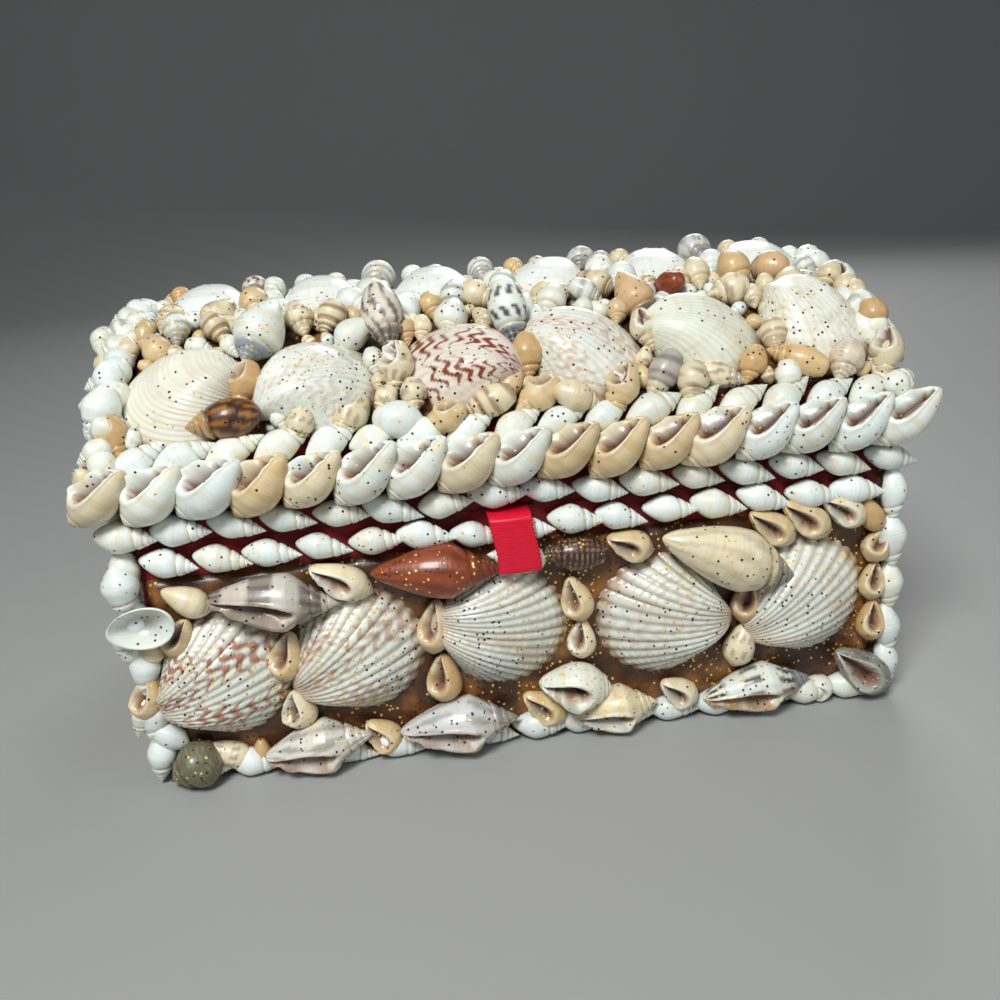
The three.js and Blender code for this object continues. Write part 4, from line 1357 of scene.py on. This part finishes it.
# %% Fillers of the lid's front
LID_FRONT = [
    (TURBAN, "tan", -63, -45, 13, 8.7, -112, MOUTH_ASIDE, 6, -22),
    (TURBAN, "speckled", -27, -44, 14, 9.1, -102, MOUTH_ASIDE, 6, -30),
    (TURBAN, "tan", 5, -44, 13, 8.7, -93, BACK_UP, 6, -30),
    (TURBAN, "cream", 36, -39, 12, 7.7, -76, MOUTH_UP, 6, -30),
    (BARREL, "grey_rings", 37, -53, 14, 8.5, -130, BACK_UP, 6, -20),
    (BARREL, "grey_cream", 51, -53, 15, 7.8, -23, BACK_UP, 3, 2),
    (SNAIL, "tan_rings", 71, -34, 9, 7.2, -102, BACK_UP, 4, -6),
    (SNAIL, "cream_rings", 68, -44, 10, 8.0, -100, BACK_UP, 5, -12),
    (BARREL, "orange", 72, -52, 16, 8.5, 147, BACK_UP, 5, -5),
    (TURBAN, "tan", 60, -52, 11, 7.4, -119, BACK_UP, 5, -20),
    (SNAIL, "beaded", 83, -54, 12, 9.4, -122, BACK_UP, 6, -14),
    (TURBAN, "cream", 94, -53, 14, 8.9, -111, MOUTH_ASIDE, 6, -20),
    (SNAIL, "tan", 95, -42, 11, 8.1, -83, BACK_UP, 6, -30),
    (BARREL, "tiger", -67.5, -54.5, 17.5, 10.4, -172, BACK_UP, 6.5, 0),
    (TURBAN, "tan", -93, -55, 12, 7.8, -77, MOUTH_ASIDE, 5, -15),
    (SNAIL, "white", -95, -40, 10, 7.8, -96, BACK_UP, 6, -30),
    (TURBAN, "white", -96, -49, 14, 9.3, -120, BACK_UP, 6, -30),
    (SNAIL, "ivory", -97, -59, 9, 6.8, -156, BACK_UP, 5, -20),
    (SNAIL, "speckled", -51, -57, 10, 7.0, -117, BACK_UP, 5, -20),
    (TURBAN, "speckled", -39, -55, 14, 8.9, -126, MOUTH_ASIDE, 4, 4),
    (EGG, "white", -28, -58, 13, 10.0, -14, BACK_UP, 5, 0),
    (TURBAN, "beige", -17, -59, 12, 8.0, -161, MOUTH_ASIDE, 6, -20),
    (SNAIL, "tan_rings", -6, -56, 14, 8.3, -169, BACK_UP, 6, -15),
    (TURBAN, "beige", 6, -55, 14, 9.1, -149, MOUTH_ASIDE, 5, -6),
    (TURBAN, "cream", 15, -57, 13, 8.2, -18, BACK_UP, 6, -20),
    (TURBAN, "beige", 26, -56, 14, 8.9, -121, MOUTH_ASIDE, 6, -20),
]
LID_CREST = [
    (SNAIL, "tan", -85, 11, 8, 6.1, -88, BACK_UP, 8.1, -24),
    (SNAIL, "cream", -78, 11, 8, 6.1, -97, BACK_UP, 8.1, -24),
    (SNAIL, "beige", -73, 11, 7, 5.6, -85, BACK_UP, 8.0, -24),
    (SNAIL, "brown_rings", -64, 11, 11, 8.4, -84, BACK_UP, 8.4, -24),
    (SNAIL, "ivory", -59, 11, 9, 7.3, -112, BACK_UP, 8.2, -24),
    (SNAIL, "white", -50, 11, 9, 7.3, -114, BACK_UP, 8.2, -24),
    (SNAIL, "ivory", -41, 11, 8, 6.8, -73, BACK_UP, 8.2, -24),
    (SNAIL, "white_grey", -29, 11, 13, 10.8, -102, BACK_UP, 8.8, -24),
    (SNAIL, "white", -19, 11, 9, 7.4, -103, BACK_UP, 8.3, -24),
    (SNAIL, "white", -12, 11, 9, 6.8, -65, BACK_UP, 8.2, -24),
    (SNAIL, "white_grey", 1, 11, 11, 8.6, -91, BACK_UP, 8.4, -24),
    (SNAIL, "orange", 11, 11, 9, 6.9, -73, BACK_UP, 8.2, -24),
    (SNAIL, "speckled", 18, 11, 9, 6.9, -91, BACK_UP, 8.2, -24),
    (SNAIL, "beige", 24, 11, 7, 5.8, -83, BACK_UP, 8.0, -24),
    (SNAIL, "grey", 31, 11, 12, 9.8, -107, BACK_UP, 8.6, -24),
    (SNAIL, "grey", 37, 11, 9, 7.0, -83, BACK_UP, 8.2, -24),
    (SNAIL, "cream", 43, 11, 9, 7.0, -72, BACK_UP, 8.2, -24),
    (SNAIL, "cream", 51, 11, 8, 6.4, -89, BACK_UP, 8.1, -24),
    (SNAIL, "beige", 56, 11, 7, 5.8, -78, BACK_UP, 8.0, -24),
    (SNAIL, "grey", 66, 11, 14, 11.1, -81, BACK_UP, 8.8, -24),
    (SNAIL, "cream", 76, 11, 9, 7.1, -112, BACK_UP, 8.2, -24),
    (SNAIL, "white_grey", 86, 11, 9, 7.1, -77, BACK_UP, 8.2, -24),
]
garland("shells_lid_front_fillers", LID_FRONT, arch, grid=MEDIUM, noted=True)
garland("shells_lid_crest_fillers", LID_CREST, arch, grid=MEDIUM, noted=True)
print("fillers of the lid's front and crest:", len(LID_FRONT), "and", len(LID_CREST))

# %% Snails over the lid's ends
# Distance from the middle of the lid, drop, and spacing of the inner and the outer line.
END_LINES = ((95.0, 0.0, 8.6), (98.6, 3.6, 7.6))
END_LOOKS = ["white", "white", "ivory", "ivory", "cream", "white_grey"]
END_HEIGHT, END_RISE = 4.6, -12


def end_snails(side, sign):
    """Two lines of round snails over an end of the lid, spires outwards. The outer line hangs lower."""
    piece = Piece(f"shells_lid_{side}_end_snails")
    for line, (x, drop, spacing) in enumerate(END_LINES):
        for arc in np.arange(-61 + 3 * line, 60, spacing):
            radius = rng.uniform(3.7, 4.5) - 0.4 * line
            look = rng.choice(END_LOOKS)
            tip = (180 if sign < 0 else 0) + sign * rng.uniform(-10, 60)
            place = arch(sign * (x + rng.uniform(-0.8, 0.8)), arc).moved(0, 0, -drop)
            snail = (SNAIL, look, radius * 2.35, tip, BACK_UP, PLAIN, END_HEIGHT, END_RISE)
            glue_whelk(piece, place, *snail, sparkle=rng.uniform(0.1, 0.6))
            taken.append((place.foot[0], arc, radius))
    return piece.build(mixed_finish, "mixed_shell")


end_snails("left", -1)
end_snails("right", 1)
print("snails over the lid's ends done:", totals)

# %% [markdown]
# ## The smallest snails
# What is still bare on the lid is filled with the smallest snails. The ground already covered is known as
# discs, so a spot is drawn by chance and kept only if it touches none of them, first for the larger snails
# and then for the smaller ones.

# %% Small snails in the gaps
SMALL_RADII = (4.6, 3.9, 3.2, 2.6, 2.1)
SMALL_LOOKS = ["ivory", "ivory", "cream", "white", "beige", "tan_rings", "speckled", "white_grey"]
TRIES = 900  # for each radius
SQUEEZE = 1.9  # how far a snail may lie over its neighbour's disc
COCKLE_DISC = 12.8
taken += [(x, arc, COCKLE_DISC) for x, arc in LID_PLACES]
taken += [(x, 0, COCKLE_DISC) for x in MIDDLE_X]


def crowd(name, x_range, arc_range):
    """Snails at random spots of the lid, kept where the gap to the nearest disc is wide enough:
    gap = distance between the middles − both radii."""
    piece, count = Piece(name), 0
    for radius in SMALL_RADII:
        for _ in range(TRIES):
            x, arc = rng.uniform(*x_range), rng.uniform(*arc_range)
            discs = np.array(taken)
            gap = np.hypot(discs[:, 0] - x, discs[:, 1] - arc) - discs[:, 2] - radius
            if gap.min() < -SQUEEZE:
                continue
            form = replace(SNAIL if rng.random() < 0.6 else NASSA, girth=rng.uniform(0.36, 0.42))
            look = rng.choice(SMALL_LOOKS)
            tip = rng.normal(-90, 40)
            raised = (radius + 1.4, rng.uniform(-30, -10))
            snail = (form, look, radius * 2.5, tip, BACK_UP, PLAIN, *raised)
            glue_whelk(piece, arch(x, arc), *snail, sparkle=rng.uniform(0.3, 1.0))
            taken.append((x, arc, radius))
            count += 1
    print(name, "small snails:", count)
    return piece.build(mixed_finish, "mixed_shell")


crowd("shells_lid_small", (-93, 93), (-57, 18))

# %% Fillers of the hidden sides
FILLER_LENGTH, GABLE_FILLER_LENGTH = 10.5, 9.5
FILL_Z = middle("front_cockle_3")[2]
GABLE_SPOTS = [
    (-44, 84.5), (-36, 90.5), (-24, 99.5), (-13, 100.5), (13, 100.5), (24, 99.5), (36, 90.5), (44, 84.5),
]


def fillers(name, spots, place_at, looks, length, spread):
    """Small whelks on a list of spots, tips up with a spread in degrees, mostly with the mouth aside."""
    piece = Piece(name)
    for a, u in spots:
        form = replace(NASSA, girth=rng.uniform(0.33, 0.4))
        look = looks[rng.integers(len(looks))]
        tip = 90 + rng.normal(0, spread)
        size = length * rng.uniform(0.9, 1.12)
        spin = MOUTH_ASIDE if rng.random() < 0.75 else BACK_UP
        glue_whelk(piece, place_at(a, u), form, look, size, tip, spin, PLAIN)
    return piece.build(mixed_finish, "mixed_shell")


for side in HIDDEN:
    places, wide = touching_places(f"{side}_cockle_row", run_axis(side), HIDDEN_COCKLE)
    between = [(a + wide / 2, FILL_Z + u) for a in places for u in (-11.5, 11.5)]
    between += [(places[0] - wide / 2, FILL_Z + u) for u in (-11.5, 11.5)]
    limit = wall_run(side) / 2 - 3
    between = [(min(max(a, -limit), limit), u) for a, u in between]
    looks = ["beige", "cream", "ivory"]
    fillers(f"shells_{side}_fillers", between, partial(wall, side), looks, FILLER_LENGTH, 30)

looks = ["cream", "ivory", "beige"]
places, wide = touching_places("lid_back_cockle_row", 0, 26.0)
between = [(x + wide / 2, LID_COCKLE_ARC + u) for x in places[:-1] for u in (-10.5, 10.0)]
fillers("shells_lid_back_fillers", between, arch, looks, FILLER_LENGTH, 30)
for side in ("left", "right"):
    name = f"shells_{side}_gable_fillers"
    fillers(name, GABLE_SPOTS, partial(wall, side), looks, GABLE_FILLER_LENGTH, 40)
print("fillers done:", totals)

# %% [markdown]
# ## The glue bed
# Between the shells one sees the glue that holds them: amber, lumpy and glistening. It is a thin skin over
# each wall, whose thickness is a sum of waves of several lengths.


# %% The glue's finish
def glue_finish():
    """Resin: dark amber with streaks, glossy under a clear coat, with glitter caught in it."""
    finish = Finish("amber_glue", Coat_Roughness=0.2, Coat_Weight=0.4)
    place = finish.add("TexCoord", out="Object")
    cloud = finish.noise(place, 120.0, 4.0)
    stops = [(0.3, colour(40, 20, 9)), (0.5, colour(82, 46, 19)), (0.7, colour(150, 98, 44))]
    tint = finish.add("ValToRGB", {"stops": stops}, {0: cloud})
    gold, black = glitter(finish, place, 2.0)
    tint = finish.mix(black, tint, SOOT)
    tint = finish.mix(gold, tint, GOLD)
    fine = finish.noise(place, 700.0, 2.0)
    relief = {"Strength": 0.5, "Distance": 0.0004, "Height": fine + gold}
    bump = finish.add("Bump", None, relief, out="Normal")
    return finish.set(Base_Color=tint, Roughness=0.42 - 0.1 * gold, Metallic=gold * 0.4, Normal=bump)


amber = glue_finish()
print(amber.name, "has", len(amber.node_tree.nodes), "nodes")

# %% Glue beds
GLUE_STEP = 2.4  # between neighbouring grid points
GLUE_BACK = 0.12  # how far the flat back lies off the wall
WAVES = ((23, 0.3), (11, 0.3), (6.1, 0.25), (3.7, 0.15))  # length in millimetres, and share


def lumps(a, u):
    """A smooth bumpy field between about 0 and 1: a sum of sine waves, three of each length, whose headings
    and starts are drawn by chance."""
    total = 0 * a
    for length, share in WAVES:
        for _ in range(3):
            heading = rng.uniform(0, TAU)
            way = a * math.cos(heading) + u * math.sin(heading)
            total = total + share / 3 * np.sin(TAU * way / length + rng.uniform(0, TAU))
    return 0.5 + 0.5 * total


def glue_bed(name, place_at, a_range, u_range, thickness):
    """A skin over a wall: an outer sheet whose height is its thickness × lumps, thinning out at the edges,
    and, through its first and last points, a flat back."""
    columns = round((a_range[1] - a_range[0]) / GLUE_STEP)
    rows = round((u_range[1] - u_range[0]) / GLUE_STEP)
    a, u = np.meshgrid(np.linspace(*a_range, columns), np.linspace(*u_range, rows))
    edge = smooth(np.minimum(a - a_range[0], a_range[1] - a), 0, 3)
    edge = edge * smooth(np.minimum(u - u_range[0], u_range[1] - u), 0, 3)
    height = 0.15 + edge * thickness * (0.35 + 0.9 * lumps(a, u))
    frames = [place_at(0.0, v) for v in np.linspace(*u_range, rows)]
    feet = np.stack([f.foot for f in frames])[:, None]
    along = np.stack([f.along for f in frames])[:, None]
    out = np.stack([f.out for f in frames])[:, None]
    front = feet + a[..., None] * along + height[..., None] * out
    behind = feet + a[..., None] * along + GLUE_BACK * out
    ring = np.concatenate([front, behind[:, ::-1]], 1)
    ends = [behind[i].mean(0) + 0 * ring[:1] for i in (0, -1)]
    ring = np.concatenate([ends[0], ring, ends[1]])
    piece = Piece(name)
    piece.add(ring, AMBER + 0 * ring, ring * 0)
    return piece.build(amber, "ribbed_shell")


for side in WALLS:
    half = wall_run(side) / 2 - 0.6
    glue_bed(f"glue_{side}", partial(wall, side), (-half, half), (2.0, 54.5), 1.9)
glue_bed("glue_lid", arch, (-LENGTH / 2 + 1, LENGTH / 2 - 1), (-EDGE_ARC, EDGE_ARC), 1.7)
for side in ("left", "right"):
    glue_bed(f"glue_{side}_gable", partial(wall, side), (-40, 40), (83.5, 93.0), 1.5)
print("glue done:", totals)

# %% [markdown]
# ## The cloth under the shells
# Case and lid are card covered with dark red cloth, which shows in the slits between the rows at the seam.
# The solids already have the right shape, so they only get a woven finish.


# %% Red cloth
THREADS = 9000.0  # radians to a metre, which makes about three threads to two millimetres


def cloth_finish():
    """Plain weave: two crossed waves as bump, and threads that differ a little in shade."""
    finish = Finish("red_cloth", Roughness=0.85, Sheen_Weight=0.3, Sheen_Roughness=0.5)
    place = finish.add("TexCoord", out="Object")
    parts = finish.add("SeparateXYZ", None, {0: place}, out="X")
    across = (parts + parts.output("Y")) * THREADS
    rise = parts.output("Z") * THREADS + parts.output("Y") * 4000.0
    weave = across.maths("SINE", across) * rise.maths("SINE", rise)
    cloud = finish.noise(place, 90.0, 4.0)
    tint = finish.mix(cloud.ramp(0.3, 0.7), colour(112, 10, 18), colour(164, 20, 30))
    tint = finish.mix(weave.ramp(-0.6, 0.8) * 0.4, tint, colour(72, 6, 10))
    bump = finish.add("Bump", None, {"Strength": 0.4, "Distance": 0.0002, "Height": weave}, out="Normal")
    return finish.set(Base_Color=tint, Normal=bump)


cloth = cloth_finish()
for node in ("case", "lid"):
    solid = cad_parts[node]
    solid.data.materials.clear()
    solid.data.materials.append(cloth)
print("cloth on case and lid")

# %% [markdown]
# ## The ribbon tab
# A red satin ribbon is glued inside the lid, comes out over the seam and hangs down the front, with its end
# folded under. It is a strip carried along a path: straight stretches whose bends are rounded by averaging
# neighbouring points. Its edges are picot, a row of tiny loops.

# %% The ribbon's path
RIBBON_WIDTH = 10.4
RIBBON_STEPS = 110
SEAM_Z = CASE_HEIGHT + 0.5
FRONT_Y = -DEPTH / 2 - 8.6
INSIDE_Y = -DEPTH / 2 + 3.6
TAB_Z = ribbon_low[2]


def ribbon_path():
    """Points of the path in y and z: evenly spaced between its turns, and then rounded, each point moving
    to a quarter of its neighbours and half of itself."""
    turns = np.array([
        (INSIDE_Y, SEAM_Z + 8.8),
        (INSIDE_Y, SEAM_Z),
        (-DEPTH / 2 - 6.5, SEAM_Z + 0.2),
        (FRONT_Y - 0.2, SEAM_Z - 0.6),
        (FRONT_Y - 0.7, SEAM_Z - 6),
        (FRONT_Y - 0.9, TAB_Z + 0.8),
        (FRONT_Y - 0.2, TAB_Z + 0.2),
        (FRONT_Y + 0.3, TAB_Z + 1),
        (FRONT_Y + 0.4, TAB_Z + 4),
    ])
    lengths = np.concatenate([[0], np.cumsum(np.linalg.norm(np.diff(turns, axis=0), axis=1))])
    t = np.linspace(0, lengths[-1], RIBBON_STEPS)
    line = np.stack([np.interp(t, lengths, turns[:, i]) for i in (0, 1)], -1)
    for _ in range(6):
        line[1:-1] = (line[:-2] + 2 * line[1:-1] + line[2:]) / 4
    return line


line = ribbon_path()


# %% Satin
def satin_finish():
    """Satin: fine threads across the ribbon, shiny along them, in two reds that vary from thread to thread.
    """
    finish = Finish("red_satin", Anisotropic=0.5)
    pattern = finish.add("Attribute", {"attribute_name": "pattern"}, out="Vector")
    threads = finish.add("Mapping", None, {"Vector": pattern, "Scale": (3.0, 160.0, 1.0)})
    grain = finish.noise(threads, 1.0, 3.0)
    tint = finish.mix(grain.ramp(0.3, 0.7), colour(196, 6, 40), colour(226, 14, 54))
    bump = finish.add("Bump", None, {"Strength": 0.15, "Distance": 0.0001, "Height": grain}, out="Normal")
    return finish.set(Base_Color=tint, Roughness=0.3 + 0.15 * grain, Normal=bump)


satin = satin_finish()
print(satin.name, "has", len(satin.node_tree.nodes), "nodes")

# %% The strip
# across runs over the width. The loops stand out by a sine along the edges, the ribbon leans to the left
# towards the seam, and it cups a little where it hangs free.
across = np.linspace(-0.5, 0.5, 15)
picot = 0.16 * np.sin(np.arange(len(line)) * 2.1)[:, None] * (np.abs(across) > 0.46)
lean = 1.6 * smooth(line[:, 1:], TAB_Z + 2, SEAM_Z)
x = RIBBON_X - lean + across * RIBBON_WIDTH + np.sign(across) * picot
cup = 0.35 * (across * 2) ** 2 * smooth(np.arange(len(line)) / len(line), 0.35, 0.6)[:, None]
ribbon_points = np.stack([x, line[:, :1] + cup, line[:, 1:] + 0 * across], -1)
mesh = bpy.data.meshes.new("ribbon")
rows, columns = x.shape
index = np.arange(rows * columns).reshape(rows, columns)
quads = np.stack([index[:-1, :-1], index[:-1, 1:], index[1:, 1:], index[1:, :-1]], -1).reshape(-1, 4)
mesh.from_pydata((ribbon_points.reshape(-1, 3) * MM).tolist(), [], quads.tolist())
mesh.shade_smooth()
spot = np.stack([0 * x + across, 0 * x + np.arange(rows)[:, None] / rows, 0 * x], -1)
mesh.attributes.new("pattern", "FLOAT_VECTOR", "POINT").data.foreach_set("vector", spot.ravel())
mesh.materials.append(satin)
ribbon = bpy.data.objects.new("ribbon", mesh)
bpy.context.scene.collection.objects.link(ribbon)
thick = ribbon.modifiers.new("thickness", "SOLIDIFY")
thick.thickness = 0.00025
thick.offset = 0
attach(ribbon, "root")
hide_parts("ribbon_tab")
print("the strip has", len(quads), "faces")

# %% [markdown]
# ## Floor, light and camera
# The floor is pale and plain, and it sweeps up behind the box so that no horizon shows. A soft light stands
# above and in front, a weaker one fills from the right, and one from behind lights the hidden sides. The
# plain Standard view is chosen, because it shows white shells as white and keeps the red of the ribbon. The
# camera stands where the photographer did: a little to the left and above, slightly rolled.

# %% Floor
SWEEP_START, SWEEP_RADIUS, SWEEP_TOP, SWEEP_HALF = 1.1, 0.9, 2.6, 3.0
bend = np.linspace(0, math.pi / 2, 25)
profile = np.concatenate([
    [(-SWEEP_HALF, 0.0)],
    np.stack([SWEEP_START + SWEEP_RADIUS * np.sin(bend), SWEEP_RADIUS * (1 - np.cos(bend))], -1),
    [(SWEEP_START + SWEEP_RADIUS, SWEEP_TOP)],
])
points = [(x, y, z) for x in (-SWEEP_HALF, SWEEP_HALF) for y, z in profile]
count = len(profile)
sheet = bpy.data.meshes.new("floor")
sheet.from_pydata(points, [], [(i, count + i, count + i + 1, i + 1) for i in range(count - 1)])
sheet.shade_smooth()
floor = bpy.data.objects.new("floor", sheet)
bpy.context.scene.collection.objects.link(floor)
pale = Finish("pale_floor", Base_Color=(0.36, 0.362, 0.355, 1), Roughness=0.6)
floor.data.materials.append(pale.material)
print("floor strips:", count - 1)

# %% Light
bpy.context.scene.view_settings.view_transform = "Standard"
world = bpy.data.worlds.new("studio")
bpy.context.scene.world = world
world.use_nodes = True
background = world.node_tree.nodes["Background"]
background.inputs["Color"].default_value = (0.82, 0.86, 0.92, 1)
background.inputs["Strength"].default_value = 0.14
AIM = (0, 0, 0.05)


def soft_light(name, place, size, power, tone):
    """A square lamp that looks at the middle of the box, its size in metres and its power in watts."""
    data = bpy.data.lights.new(name, "AREA")
    data.size, data.energy, data.color = size, power, tone
    light = bpy.data.objects.new(name, data)
    bpy.context.scene.collection.objects.link(light)
    light.location = place
    heading = np.array(AIM) - np.array(place)
    light.rotation_euler = Vector(heading).to_track_quat("-Z", "Y").to_euler()


soft_light("key", (-0.24, -0.54, 0.68), 0.25, 6.9, (0.985, 1.0, 0.99))
soft_light("fill", (0.8, -0.7, 0.5), 0.6, 1.8, (0.94, 0.98, 1.0))
soft_light("back", (0.35, 0.95, 0.7), 0.5, 4.6, (1.0, 1.0, 1.0))
print("lights:", [light.name for light in bpy.data.lights])

# %% Camera
# The view looks ahead by yaw and pitch. Two more directions square to it are then rolled about it.
CAMERA_PLACE = (-0.02987, -0.28594, 0.14105)
YAW, PITCH, ROLL = (math.radians(v) for v in (6.08, 17.95, -4.19))
SENSOR = 36  # as wide as the lens is long, so the view is 53 degrees wide
ahead = np.array([math.sin(YAW) * math.cos(PITCH), math.cos(YAW) * math.cos(PITCH), -math.sin(PITCH)])
flat_right = np.array([math.cos(YAW), -math.sin(YAW), 0])
upright = np.cross(flat_right, ahead)
right = math.cos(ROLL) * flat_right + math.sin(ROLL) * upright
over = -math.sin(ROLL) * flat_right + math.cos(ROLL) * upright
lens = bpy.data.cameras.new("camera")
lens.sensor_width = SENSOR
lens.lens = SENSOR
lens.clip_start = 0.01
camera = bpy.data.objects.new("camera", lens)
bpy.context.scene.collection.objects.link(camera)
camera.rotation_mode = "QUATERNION"
camera.rotation_quaternion = Matrix(np.stack([right, over, -ahead], 1).tolist()).to_quaternion()
camera.location = CAMERA_PLACE
bpy.context.scene.camera = camera
print("camera set, triangles in all:", totals["triangles"])
